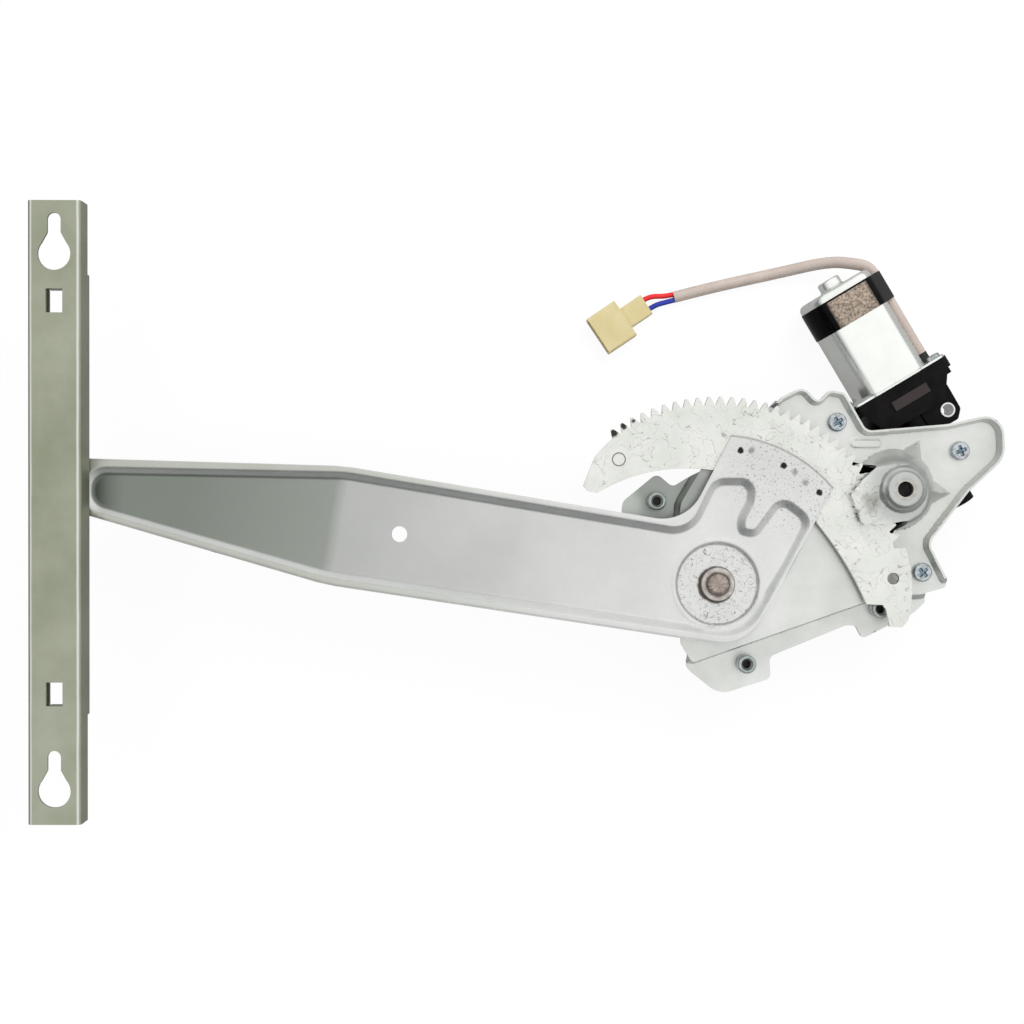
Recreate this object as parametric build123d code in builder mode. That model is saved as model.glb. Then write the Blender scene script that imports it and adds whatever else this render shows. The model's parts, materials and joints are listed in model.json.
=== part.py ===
from build123d import *
from math import acos, cos, degrees, pi, radians, sin, tan
import os

# Power window regulator with one lift arm, as it lies with the lift rail towards the viewer.
# Lengths are in mm. The door panel is the plane z = 0 and +Z points away from it.
# The origin is on the thread of the lower weld nut. Plan positions count from the arm's pivot.

# Levels of the layers above the door panel
SHEET = 2.0
RAISE = 10.0
BRACKET_RISE = 4.0
ARM_SHEET = 2.5
WASHER = 0.4
SECTOR_Z = 16.0
SECTOR_T = 3.0
RUN_GAP = 0.1
TURN_GAP = 0.05
SEAT_GAP = 0.05
MOTOR_Z = -14.0
FLOOR_Z = -33.0

BASE_TOP = RAISE + SHEET
ARM_RIM_Z = SECTOR_Z + SECTOR_T
ARM_TOP = ARM_RIM_Z + ARM_SHEET
HUB_Z = BASE_TOP + WASHER + RUN_GAP
WEB_Z = HUB_Z + 2.0
BRACKET_TOP = BRACKET_RISE + SHEET

# Weld nuts on the three feet, M6 thread
NUT_BORE_R = 2.5
NUT_R = 5.5
NUT_PILOT_R = 3.9
NUT_HEIGHT = 8.0
FOOT_HOLE_R = 3.95
NUTS = [(19.2, -48.3), (-34.7, 48.7), (99.0, -15.2)]
PIVOT_X, PIVOT_Y = -NUTS[0][0], -NUTS[0][1]

# Gear train: a toothed sector of 102 pitches driven by a pinion of 12 teeth
MODULE = 2.1167
PRESSURE_ANGLE = 25.0
SECTOR_PITCHES = 102
SECTOR_TEETH = 32
PINION_TEETH = 12
BACKLASH = 0.3
MESH_ANGLE = 27.6
PINION_FACE = 6.0
WHEEL_TEETH = 78
WHEEL_MODULE = 0.8
WORM_R = 4.6
WORM_OFFSET = 36.0
WORM_LENGTH = 36.0

SECTOR_PITCH_R = MODULE * SECTOR_PITCHES / 2
PINION_PITCH_R = MODULE * PINION_TEETH / 2
CENTRES = SECTOR_PITCH_R + PINION_PITCH_R
PINION_X = CENTRES * cos(radians(MESH_ANGLE))
PINION_Y = CENTRES * sin(radians(MESH_ANGLE))
SECTOR_MID_Z = SECTOR_Z + SECTOR_T / 2

# Pivot, pinion shaft and their bushes
RIVET_SHANK_R = 7.9
RIVET_HEAD_R = 6.3
RIVET_FLANGE_R = 14.0
RETAINER_R = 9.8
RETAINER_T = 1.2
COLLAR_RISE = 2.5
HUB_R = 22.5
HUB_COLLAR_R = 10.4
SHAFT_R = 4.5
BUSH_R = 6.7

# Drawn cup over the pinion
CUP_FOOT_R = 21.5
CUP_SHOULDER_R = 18.0
CUP_SHOULDER_Z = 21.5
CUP_TOP_R = 11.5
CUP_TOP_Z = 26.0
CUP_COLLAR_R = 10.2
CUP_COLLAR_Z = 28.0
RIM_HEIGHT = 5.5
WALL_DRAFT = 14.0
STEP_X, STEP_Y = 107.0, -7.0
STEP_LENGTH, STEP_WIDTH = 38.0, 5.0
GUSSETS = [(63.0, 33.5), (-3.3, 34.3)]
GUSSET_HALF, GUSSET_HEIGHT, GUSSET_TIP = 22.0, 20.3, 0.8

# Lift arm and its stud
STUD_X, STUD_Y = -381.8, 60.7
STUD_R = 5.0
BOOT_R = 88.5
BOOT_FROM, BOOT_TO = 84.9, 40.5
ARM_HOLE = (-187.0, 28.9)
ARM_HOLE_R = 4.7
TONGUE_WIDTH = 14.0
SECTOR_HOLE = (102.8, 3.6)
SECTOR_HOLE_R = 3.5

# Lift rail, a channel open towards the arm
RAIL_WIDTH = 30.8
RAIL_LOW, RAIL_HIGH = -137.0, 219.0
RAIL_T = 1.6
RAIL_BACK = 22.5
RAIL_DEPTH = 14.0
RAIL_END_DEPTH = 11.0
LIP = 6.5
LIP_LOW, LIP_HIGH = -75.7, 178.7
KEYHOLE_R = 9.3
KEYHOLE_SLOT_R = 3.8
KEYHOLE_STEP = 19.4
KEYHOLE_NECK = 12.0
KEYHOLES = [188.7, -117.9]
WINDOW_WIDTH, WINDOW_LENGTH = 9.4, 13.5
WINDOWS = [162.0, -62.4]
TAB_DROP = 6.0
SLIDER_LENGTH = 36.0
SLIDER_GAP = 0.3
RAIL_FRONT = RAIL_BACK + RAIL_DEPTH

# Gear motor: its axis runs up and to the left past the pinion
MOTOR_ANGLE = 120.9
CAN_START, CAN_END = 54.0, 122.0
CAN_R = 23.5
CAN_FLAT_DEPTH = 5.0
CAN_HALF_T = CAN_R - CAN_FLAT_DEPTH
CAN_CORNER = 3.5
CAN_WALL = 1.4
BOSS_R = 7.0
BOSS_LENGTH = 7.0
CHAMBER_R = 35.0
WALL = 2.5
FLANGE_T = 8.0
SCREW_R = 3.0
SCREW_HEAD_R = 5.6
SCREW_HEAD_T = 3.4
MOTOR_SCREWS = [(72.7, 96.0), (146.1, 79.1), (123.9, 6.6)]
FLANGE_SCREW_R = 2.0
FLANGE_SCREWS = [(CAN_R + 2.5 * FLANGE_SCREW_R, -9.0), (-CAN_R - 1.5 * FLANGE_SCREW_R, 9.5)]
FLANGE_EARS = 19.0
FLANGE_WIDTH = 2 * CAN_R + FLANGE_EARS
FLANGE_ROUND = 6.0
FLANGE_HEIGHT = 33.0
CAN_LIP = 0.7
CAN_FLANGE_T = 1.2
NECK_START = 30.0
BRUSH_WIDTH, BRUSH_HEIGHT, BRUSH_DEPTH = 30.0, 22.0, 20.0
FLANGE_SHIFT = 1.5
EAR = (143.1, 104.5)
EAR_SLEEVE_R, EAR_BORE_R = 4.4, 3.5
EAR_WEB, EAR_T = 13.0, 15.0
EAR_PLATE = [
    (128.0, 116.0, 1), (131.0, 119.5, 1), (142.4, 120.3, 2), (151.0, 105.6, 3), (149.6, 99.0, 3),
    (143.8, 95.6, 3), (136.8, 99.2, 2), (132.4, 111.9, 2),
]
TUBE_BACK = 31.0
TUBE_R = 9.4
BLOCK_AT, BLOCK_WIDTH, BLOCK_DEPTH = 25.5, 11.5, 3.6
PAD_START, PAD_LENGTH, PAD_AT, PAD_WIDTH, PAD_RISE = 39.0, 6.0, 2.3, 24.0, 16.9
LUG_R, LUG_WEB, LUG_DEPTH = 7.5, 10.0, 12.0

ALONG = (cos(radians(MOTOR_ANGLE)), sin(radians(MOTOR_ANGLE)))
ACROSS = (ALONG[1], -ALONG[0])
WORM_X = PINION_X + WORM_OFFSET * ACROSS[0]
WORM_Y = PINION_Y + WORM_OFFSET * ACROSS[1]

# Cable, its two wires and the plug
CABLE_D = 7.0
WIRE_D = 3.2
CABLE_OFFSET = 27.3
PLUG_ANGLE = 214.0
NECK_WIDTH, NECK_LENGTH, NECK_HEIGHT = 13.8, 17.0, 8.0
HOOD_WIDTH, HOOD_LENGTH, HOOD_HEIGHT = 25.4, 20.2, 11.0
HOOD_LAP = 1.0
NECK_END = (-37.4, 171.2)


def level(height, x=0.0, y=0.0):
    """Horizontal plane at a height, with its origin at a plan position counted from the pivot."""
    return Plane((PIVOT_X + x, PIVOT_Y + y, height))


def motor_plane(along):
    """Plane across the motor's axis, its local x away from the pinion and y towards the door."""
    origin = (PIVOT_X + WORM_X + along * ALONG[0], PIVOT_Y + WORM_Y + along * ALONG[1], MOTOR_Z)
    return Plane(origin, x_dir=(ACROSS[0], ACROSS[1], 0), z_dir=(ALONG[0], ALONG[1], 0))


def on_motor(along, across):
    """Plan position of a point given along and across the motor's axis."""
    x = WORM_X + along * ALONG[0] + across * ACROSS[0]
    y = WORM_Y + along * ALONG[1] + across * ACROSS[1]
    return x, y


def rounded_face(corners):
    """Fill the outline whose corners are given as x, y and radius."""
    with BuildLine() as outline:
        FilletPolyline([(x, y) for x, y, _ in corners], radius=[r for _, _, r in corners], close=True)
    make_face(outline.edges())


def polar(radius, angle):
    return radius * cos(radians(angle)), radius * sin(radians(angle))


def involute_flank(base_r, from_r, to_r, half_angle, side, steps=3):
    """Points up one flank of a tooth: an involute that meets the pitch circle at half_angle."""
    points = []
    for step in range(steps + 1):
        radius = from_r + (to_r - from_r) * step / steps
        roll = acos(min(1.0, base_r / radius))
        spread = degrees(tan(roll) - roll)
        points.append((radius, side * (half_angle - spread)))
    return points


def tooth(pitch_r, teeth, root_r, tip_r, centre):
    """Points of one tooth from its leading root round its tip to its trailing root."""
    base_r = pitch_r * cos(radians(PRESSURE_ANGLE))
    spread_at_pitch = degrees(tan(radians(PRESSURE_ANGLE)) - radians(PRESSURE_ANGLE))
    half_angle = 90 / teeth - degrees(BACKLASH / 4 / pitch_r) + spread_at_pitch
    foot_r = max(root_r, base_r)
    flank = involute_flank(base_r, foot_r, tip_r, half_angle, 1)
    leading = [(radius, centre + angle) for radius, angle in flank]
    trailing = [(radius, centre - angle) for radius, angle in reversed(flank)]
    if foot_r > root_r:
        leading = [(root_r, leading[0][1])] + leading
        trailing = trailing + [(root_r, trailing[-1][1])]
    return [polar(radius, angle) for radius, angle in leading + trailing]


# Base plate: one stamping with three feet, a raised centre, a bracket and a drawn cup
LOWER_FEET = [
    (-17.4, -40.5, 2), (-15.5, -52.0, 9), (4.0, -67.5, 14), (34.8, -57.6, 4), (34.0, -44.5, 4),
    (80.0, -25.6, 3), (85.6, -25.8, 2), (89.8, -33.6, 2.5), (121.0, -17.8, 6), (127.5, -11.5, 2),
    (126.0, -4.0, 1), (92.0, 2.0, 1), (40.0, -15.0, 1), (-8.0, -34.0, 1),
]
UPPER_FOOT = [
    (-55.5, 40.0, 8), (-54.0, 48.6, 5), (-34.0, 65.2, 4), (-24.5, 57.2, 4), (-4.0, 70.0, 1),
    (4.0, 50.0, 1), (-14.0, 12.0, 1), (-30.0, 22.0, 8),
]
RAISED = [
    (-24.0, 10.0, 6), (-20.5, -36.0, 5), (-14.0, -47.0, 3), (94.0, -8.8, 3), (83.5, 9.0, 20),
    (66.0, 44.0, 30), (38.0, 71.0, 30), (-6.0, 72.5, 5), (-21.0, 47.5, 12),
]
TONGUE = [
    (76.2, 52.5, 2.5), (83.0, 61.5, 4), (90.6, 67.8, 1), (108.0, 58.0, 1), (108.5, 37.5, 1),
    (97.6, 35.7, 3), (83.2, 35.1, 2.5),
]
BRACKET = [
    (38.6, 110.3, 5), (51.5, 117.0, 7), (60.0, 107.6, 3), (67.0, 114.8, 5), (76.0, 113.2, 5),
    (89.0, 90.6, 6), (138.0, 94.8, 12), (170.0, 102.0, 17), (171.5, 75.0, 15), (150.0, 55.0, 9),
    (126.5, 24.0, 6), (139.8, -2.0, 2.5), (124.0, -6.5, 6), (114.0, -6.9, 1), (86.0, 0.0, 1),
    (66.0, 30.0, 2), (30.0, 66.0, 2), (-5.0, 68.0, 2),
]

with BuildPart() as base_plate:
    with BuildSketch(level(0)):
        rounded_face(LOWER_FEET)
        rounded_face(UPPER_FOOT)
    extrude(amount=SHEET)
    with BuildSketch(level(BRACKET_RISE)):
        rounded_face(BRACKET)
    extrude(amount=SHEET)
    with BuildSketch(level(BRACKET_RISE)) as rim:
        rounded_face(BRACKET)
        offset(amount=-SHEET, kind=Kind.INTERSECTION, mode=Mode.SUBTRACT)
        Circle(SECTOR_PITCH_R + MODULE, mode=Mode.SUBTRACT)
    extrude(amount=SHEET + RIM_HEIGHT)
    with BuildSketch(level(SHEET, STEP_X, STEP_Y)):
        Rectangle(STEP_LENGTH, STEP_WIDTH)
    extrude(amount=BRACKET_RISE)
    with BuildSketch(level(0)):
        rounded_face(RAISED)
    extrude(amount=BASE_TOP, taper=WALL_DRAFT)
    with BuildSketch(level(0)):
        rounded_face(RAISED)
        offset(amount=-SHEET, kind=Kind.INTERSECTION, mode=Mode.REPLACE)
    extrude(amount=RAISE, taper=WALL_DRAFT, mode=Mode.SUBTRACT)
    for tip_angle, reach in GUSSETS:
        gusset_x, gusset_y = polar(reach, tip_angle)
        start = level(BRACKET_TOP, PINION_X, PINION_Y)
        root_plane = Plane(start.origin, x_dir=polar(1.0, tip_angle + 90), z_dir=polar(1.0, tip_angle))
        with BuildSketch(root_plane):
            Polygon((-GUSSET_HALF, 0), (GUSSET_HALF, 0), (0, GUSSET_HEIGHT), align=None)
        with BuildSketch(root_plane.offset(reach)):
            Polygon((-GUSSET_TIP, 0), (GUSSET_TIP, 0), (0, GUSSET_TIP), align=None)
        loft(ruled=True)
    with BuildSketch(Plane(level(0, PINION_X, PINION_Y).origin, x_dir=(1, 0, 0), z_dir=(0, -1, 0))):
        with BuildLine():
            Polyline((0, BRACKET_RISE), (CUP_FOOT_R, BRACKET_RISE), (CUP_FOOT_R, BRACKET_TOP),
                     (CUP_SHOULDER_R, CUP_SHOULDER_Z), (CUP_TOP_R, CUP_TOP_Z), (CUP_COLLAR_R, CUP_TOP_Z),
                     (CUP_COLLAR_R, CUP_COLLAR_Z), (0, CUP_COLLAR_Z), (0, BRACKET_RISE))
        make_face()
    revolve(axis=Axis(level(0, PINION_X, PINION_Y).origin, (0, 0, 1)))
    with BuildSketch(level(ARM_TOP - 0.3)):
        rounded_face(TONGUE)
    extrude(amount=SHEET)
    with BuildSketch(Plane(level(0, PINION_X, PINION_Y).origin, x_dir=(1, 0, 0), z_dir=(0, -1, 0))):
        with BuildLine():
            Polyline((0, BRACKET_RISE), (CUP_FOOT_R - SHEET, BRACKET_RISE),
                     (CUP_SHOULDER_R - SHEET, CUP_SHOULDER_Z - SHEET / 2),
                     (CUP_TOP_R - SHEET / 2, CUP_TOP_Z - SHEET), (0, CUP_TOP_Z - SHEET), (0, BRACKET_RISE))
        make_face()
    revolve(axis=Axis(level(0, PINION_X, PINION_Y).origin, (0, 0, 1)), mode=Mode.SUBTRACT)
    with BuildSketch(level(BASE_TOP + 1)):
        Circle(SECTOR_PITCH_R + 8)
        Circle(BOOT_R - 2, mode=Mode.SUBTRACT)
    extrude(amount=ARM_RIM_Z - BASE_TOP + 1, mode=Mode.SUBTRACT)
    with BuildSketch(level(-1, PINION_X, PINION_Y)):
        Circle(BUSH_R)
    extrude(amount=CUP_COLLAR_Z + 2, mode=Mode.SUBTRACT)
    with BuildSketch(level(0)):
        Circle(RIVET_SHANK_R)
        with Locations(*NUTS):
            Circle(FOOT_HOLE_R)
        with Locations(*MOTOR_SCREWS):
            Circle(SCREW_R + 0.2)
    extrude(amount=BASE_TOP, mode=Mode.SUBTRACT)

base_plate.part.label = "base_plate"

with BuildPart() as door_weld_nuts:
    with BuildSketch(level(0)):
        with Locations(*NUTS):
            Circle(NUT_PILOT_R)
    extrude(amount=SHEET)
    with BuildSketch(level(SHEET)):
        with Locations(*NUTS):
            Circle(NUT_R)
    extrude(amount=NUT_HEIGHT)
    chamfer(door_weld_nuts.faces().sort_by(Axis.Z)[-3:].edges(), 0.8)
    with BuildSketch(level(0)):
        with Locations(*NUTS):
            Circle(NUT_BORE_R)
    extrude(amount=SHEET + NUT_HEIGHT, mode=Mode.SUBTRACT)

# Pivot: a shouldered rivet through the raised centre, with a washer below and a retainer above
with BuildPart() as pivot_rivet:
    with BuildSketch(Plane(level(0).origin, x_dir=(1, 0, 0), z_dir=(0, -1, 0))):
        head_z = HUB_Z + ARM_SHEET + COLLAR_RISE + RUN_GAP
        with BuildLine():
            Polyline((0, RAISE - 2), (RIVET_FLANGE_R, RAISE - 2), (RIVET_FLANGE_R, RAISE),
                     (RIVET_SHANK_R - TURN_GAP, RAISE), (RIVET_SHANK_R - TURN_GAP, head_z),
                     (RIVET_HEAD_R - 1.0, head_z), (RIVET_HEAD_R - 1.0, head_z + RETAINER_T),
                     (RIVET_HEAD_R, head_z + RETAINER_T), (RIVET_HEAD_R - 1.0, head_z + RETAINER_T + 2.0),
                     (0, head_z + RETAINER_T + 2.4), (0, RAISE - 2))
        make_face()
    revolve(axis=Axis(level(0).origin, (0, 0, 1)))

with BuildPart() as pivot_washer:
    with BuildSketch(level(BASE_TOP)):
        Circle(HUB_R - 3)
        Circle(RIVET_SHANK_R, mode=Mode.SUBTRACT)
    extrude(amount=WASHER)

with BuildPart() as pivot_retainer:
    with BuildSketch(level(HUB_Z + ARM_SHEET + COLLAR_RISE + RUN_GAP)):
        Circle(RETAINER_R)
        Circle(RIVET_HEAD_R - 1.0, mode=Mode.SUBTRACT)
    extrude(amount=RETAINER_T)
    top_circles = pivot_retainer.edges().filter_by(GeomType.CIRCLE).group_by(Axis.Z)[-1]
    chamfer(top_circles.sort_by(SortBy.LENGTH)[-1], 0.4)

# Lift arm: a pressed tray whose rim stands above its web, wide at the pivot and narrow at the stud
ARM_EDGE = [
    (-19.2, 35.8, 25), (-219.1, 68.8, 80), (-399.0, 73.6, 14), (-399.0, 48.5, 12),
    (-229.5, -0.6, 80), (16.6, -37.2, 25),
]
ARM_TRAY = [
    (1.5, 62.0, 6), (-18.0, 27.0, 22), (-219.1, 60.2, 60), (-357.0, 63.0, 7), (-357.0, 46.5, 7),
    (-228.4, 8.6, 60), (13.0, -27.0, 20), (36.0, 12.8, 30), (50.0, 37.0, 5), (25.0, 61.0, 8),
]


def arm_outline():
    """The arm seen from above, its boot closed by an arc about the pivot."""
    left = polar(BOOT_R, BOOT_FROM)
    right = polar(BOOT_R, BOOT_TO)
    with BuildLine() as outline:
        FilletPolyline([left] + [(x, y) for x, y, _ in ARM_EDGE] + [right],
                       radius=[r for _, _, r in ARM_EDGE])
        ThreePointArc(left, polar(BOOT_R, (BOOT_FROM + BOOT_TO) / 2), right)
    make_face(outline.edges())


def arm_tray(grow=0.0):
    """The pressed part of the arm, two lobes of it with a tongue of the rim left between them."""
    rounded_face(ARM_TRAY)
    with BuildLine() as centre_line:
        Line((17.5, 35.5), (38.0, 72.0))
    trace(centre_line.edges(), line_width=TONGUE_WIDTH, mode=Mode.SUBTRACT)
    with Locations((17.5, 35.5)):
        Circle(TONGUE_WIDTH / 2, mode=Mode.SUBTRACT)
    if grow:
        offset(amount=grow, kind=Kind.INTERSECTION, mode=Mode.REPLACE)


with BuildPart() as lift_arm:
    with BuildSketch(level(ARM_RIM_Z)):
        arm_outline()
    extrude(amount=ARM_SHEET)
    with BuildSketch(level(WEB_Z)):
        arm_tray(ARM_SHEET - 0.6)
    extrude(amount=ARM_TOP - WEB_Z)
    with BuildSketch(level(WEB_Z + ARM_SHEET)):
        arm_tray()
    extrude(amount=ARM_TOP - WEB_Z, mode=Mode.SUBTRACT)
    with BuildSketch(level(HUB_Z)):
        Circle(HUB_R + 1.5)
    extrude(amount=WEB_Z - HUB_Z + ARM_SHEET)
    with BuildSketch(level(HUB_Z + ARM_SHEET)):
        Circle(HUB_R)
    extrude(amount=WEB_Z - HUB_Z + 1, mode=Mode.SUBTRACT)
    with BuildSketch(level(HUB_Z)):
        Circle(HUB_COLLAR_R)
    extrude(amount=ARM_SHEET + COLLAR_RISE)
    with BuildSketch(level(HUB_Z)):
        Circle(RIVET_SHANK_R)
    extrude(amount=ARM_TOP, mode=Mode.SUBTRACT)
    with BuildSketch(level(WEB_Z)):
        with Locations(ARM_HOLE):
            Circle(ARM_HOLE_R)
        with Locations((STUD_X, STUD_Y)):
            Circle(STUD_R - 1.0)
    extrude(amount=ARM_TOP, mode=Mode.SUBTRACT)

# Sector gear: a crescent welded under the arm's rim, with teeth on its outer edge
SECTOR_TAIL = [(-72.5, 74.4), (-79.2, 57.6), (-76.1, 54.4), (-70.8, 53.4)]
SECTOR_STOP = [
    (110.2, 21.5), (113.1, 9.6), (114.1, -2.8), (113.1, -16.9), (111.4, -21.4), (108.1, -25.1),
    (101.1, -24.7), (98.6, -14.4), (96.8, -11.9), (87.5, -11.5),
]


def sector_outline():
    """Teeth along the outer arc, then the stop end, the inner arcs and the tail."""
    root_r = SECTOR_PITCH_R - 1.25 * MODULE
    pitch_angle = 360 / SECTOR_PITCHES
    first = MESH_ANGLE - 3.5 * pitch_angle
    rack = []
    for index in range(SECTOR_TEETH - 1, -1, -1):
        rack += tooth(SECTOR_PITCH_R, SECTOR_PITCHES, root_r, SECTOR_PITCH_R + MODULE,
                      first + index * pitch_angle)
    start = polar(root_r, first + SECTOR_TEETH * pitch_angle)
    end = polar(root_r, first - pitch_angle)
    with BuildLine() as outline:
        Polyline([start] + rack + [end] + SECTOR_STOP)
        ThreePointArc(SECTOR_STOP[-1], (73.3, 15.2), (58.2, 35.9))
        ThreePointArc((58.2, 35.9), (35.8, 61.0), (-3.7, 67.0))
        ThreePointArc((-3.7, 67.0), (-37.0, 66.2), SECTOR_TAIL[-1])
        Polyline(list(reversed(SECTOR_TAIL)) + [start])
    make_face(outline.edges())


with BuildPart() as sector_gear:
    with BuildSketch(level(SECTOR_Z)):
        sector_outline()
        with Locations(SECTOR_HOLE):
            Circle(SECTOR_HOLE_R, mode=Mode.SUBTRACT)
    extrude(amount=SECTOR_T)

with BuildPart() as arm_stud:
    stud_top = RAIL_FRONT - RAIL_T - 3.0
    with BuildSketch(Plane(level(0, STUD_X, STUD_Y).origin, x_dir=(1, 0, 0), z_dir=(0, -1, 0))):
        with BuildLine():
            Polyline((0, ARM_RIM_Z - 1.5), (STUD_R + 2, ARM_RIM_Z - 1.5), (STUD_R + 2, ARM_RIM_Z),
                     (STUD_R - 1.05, ARM_RIM_Z), (STUD_R - 1.05, ARM_TOP), (STUD_R, ARM_TOP),
                     (STUD_R, stud_top - 1), (STUD_R - 1, stud_top), (0, stud_top), (0, ARM_RIM_Z - 1.5))
        make_face()
    revolve(axis=Axis(level(0, STUD_X, STUD_Y).origin, (0, 0, 1)))

# Slider: a moulded shoe that turns on the stud and runs inside the rail
with BuildPart() as rail_slider:
    slider_low = RAIL_BACK + RAIL_T + 0.2
    slider_high = RAIL_FRONT - RAIL_T - 0.2
    with BuildSketch(level(slider_low, STUD_X, STUD_Y)):
        RectangleRounded(RAIL_WIDTH - 2 * RAIL_T - 2 * SLIDER_GAP, SLIDER_LENGTH, 4.0)
    extrude(amount=slider_high - slider_low)
    with BuildSketch(level(slider_low, STUD_X, STUD_Y)):
        with Locations((0, SLIDER_LENGTH / 2 - 6), (0, 6 - SLIDER_LENGTH / 2)):
            RectangleRounded(16.0, 6.0, 1.5)
    extrude(amount=slider_high - slider_low - 2.5, mode=Mode.SUBTRACT)
    with BuildSketch(level(slider_low, STUD_X, STUD_Y)):
        Circle(STUD_R + TURN_GAP)
    extrude(amount=stud_top - slider_low + 0.3, mode=Mode.SUBTRACT)

# Lift rail: a channel with lips along its middle, keyholes for the glass and two lanced stops
with BuildPart() as lift_rail:
    rail_mid = (RAIL_LOW + RAIL_HIGH) / 2
    lip_mid = (LIP_LOW + LIP_HIGH) / 2
    with BuildSketch(level(RAIL_FRONT - RAIL_END_DEPTH, STUD_X, rail_mid)):
        Rectangle(RAIL_WIDTH, RAIL_HIGH - RAIL_LOW)
    extrude(amount=RAIL_END_DEPTH)
    with BuildSketch(level(RAIL_BACK, STUD_X, lip_mid)):
        Rectangle(RAIL_WIDTH, LIP_HIGH - LIP_LOW)
    extrude(amount=RAIL_DEPTH)
    long_edges = lift_rail.edges().filter_by(Axis.Y).group_by(Axis.Z)[-1]
    fillet(long_edges, 2.4)
    with BuildSketch(level(RAIL_BACK + RAIL_T, STUD_X, rail_mid)):
        Rectangle(RAIL_WIDTH - 2 * RAIL_T, RAIL_HIGH - RAIL_LOW)
    extrude(amount=RAIL_DEPTH - 2 * RAIL_T, mode=Mode.SUBTRACT)
    with BuildSketch(level(RAIL_BACK, STUD_X, rail_mid)):
        Rectangle(RAIL_WIDTH - 2 * RAIL_T - 2 * LIP, RAIL_HIGH - RAIL_LOW)
    extrude(amount=RAIL_T, mode=Mode.SUBTRACT)
    with BuildSketch(level(RAIL_FRONT - RAIL_T, STUD_X, 0)):
        for circle_y in KEYHOLES:
            with Locations((0, circle_y)):
                Circle(KEYHOLE_R)
            with Locations((0, circle_y + KEYHOLE_STEP)):
                Circle(KEYHOLE_SLOT_R)
            with Locations((0, circle_y + KEYHOLE_STEP / 2)):
                Rectangle(2 * KEYHOLE_SLOT_R, KEYHOLE_STEP)
            with BuildLine():
                Polyline((-0.96 * KEYHOLE_R, circle_y + 0.28 * KEYHOLE_R),
                         (0.96 * KEYHOLE_R, circle_y + 0.28 * KEYHOLE_R),
                         (KEYHOLE_SLOT_R, circle_y + KEYHOLE_NECK),
                         (-KEYHOLE_SLOT_R, circle_y + KEYHOLE_NECK), close=True)
            make_face()
        for window_y in WINDOWS:
            with Locations((0, window_y)):
                Rectangle(WINDOW_WIDTH, WINDOW_LENGTH)
    extrude(amount=RAIL_T, mode=Mode.SUBTRACT)
    with BuildSketch(level(RAIL_FRONT - RAIL_T - TAB_DROP, STUD_X, 0)):
        for window_y in WINDOWS:
            outer = window_y + (WINDOW_LENGTH / 2 + RAIL_T / 2) * (1 if window_y > 0 else -1)
            with Locations((0, outer)):
                Rectangle(WINDOW_WIDTH - 1.0, RAIL_T)
    extrude(amount=TAB_DROP + RAIL_T / 2)

# Pinion, its bush in the cup, and the shaft down to the worm wheel
with BuildPart() as pinion_gear:
    with BuildSketch(level(SECTOR_MID_Z - PINION_FACE / 2, PINION_X, PINION_Y)):
        with BuildLine() as pinion_edge:
            pinion_points = []
            for index in range(PINION_TEETH, 0, -1):
                pinion_points += tooth(PINION_PITCH_R, PINION_TEETH, PINION_PITCH_R - 1.25 * MODULE,
                                       PINION_PITCH_R + MODULE,
                                       MESH_ANGLE + 180 + index * 360 / PINION_TEETH)
            Polyline(pinion_points, close=True)
        make_face()
        Circle(SHAFT_R, mode=Mode.SUBTRACT)
    extrude(amount=PINION_FACE)

with BuildPart() as pinion_bush:
    with BuildSketch(level(CUP_TOP_Z - SHEET - 1, PINION_X, PINION_Y)):
        Circle(BUSH_R - 0.01)
        Circle(SHAFT_R + TURN_GAP, mode=Mode.SUBTRACT)
    extrude(amount=CUP_COLLAR_Z - CUP_TOP_Z + SHEET + 1)
    with BuildSketch(level(CUP_TOP_Z - SHEET - 1, PINION_X, PINION_Y)):
        Circle(BUSH_R + 2.5)
        Circle(SHAFT_R + TURN_GAP, mode=Mode.SUBTRACT)
    extrude(amount=1.0)

WHEEL_Z = MOTOR_Z
WHEEL_FACE = 11.0
WHEEL_R = WHEEL_MODULE * WHEEL_TEETH / 2 - 0.2
HUB_DISC_R = 11.0
DAMPER_R = 16.0
SHAFT_TOP = CUP_TOP_Z - 1.0
SHAFT_END = FLOOR_Z + 4.0

with BuildPart() as output_shaft:
    with BuildSketch(level(SHAFT_END, PINION_X, PINION_Y)):
        Circle(SHAFT_R)
    extrude(amount=SHAFT_TOP - SHAFT_END)
    chamfer(output_shaft.faces().sort_by(Axis.Z)[-1].edges(), 0.5)
    with BuildSketch(level(WHEEL_Z - WHEEL_FACE / 2 + 1, PINION_X, PINION_Y)):
        Circle(HUB_DISC_R)
        with PolarLocations(HUB_DISC_R - 1, 3):
            Rectangle(6.0, 5.0)
    extrude(amount=WHEEL_FACE - 2)

with BuildPart() as drive_damper:
    with BuildSketch(level(WHEEL_Z - WHEEL_FACE / 2 + 1, PINION_X, PINION_Y)):
        Circle(DAMPER_R)
        Circle(HUB_DISC_R + SEAT_GAP, mode=Mode.SUBTRACT)
        with PolarLocations(HUB_DISC_R - 1, 3):
            Rectangle(6.1, 5.1, mode=Mode.SUBTRACT)
    extrude(amount=WHEEL_FACE - 2)

with BuildPart() as worm_wheel:
    with BuildSketch(level(WHEEL_Z - WHEEL_FACE / 2, PINION_X, PINION_Y)):
        with BuildLine():
            wheel_points = []
            for index in range(WHEEL_TEETH):
                wheel_points.append(polar(WHEEL_R, index * 360 / WHEEL_TEETH))
                wheel_points.append(polar(WHEEL_R - 2 * WHEEL_MODULE, (index + 0.5) * 360 / WHEEL_TEETH))
            Polyline(wheel_points, close=True)
        make_face()
        Circle(DAMPER_R + SEAT_GAP, mode=Mode.SUBTRACT)
    extrude(amount=WHEEL_FACE)

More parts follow.
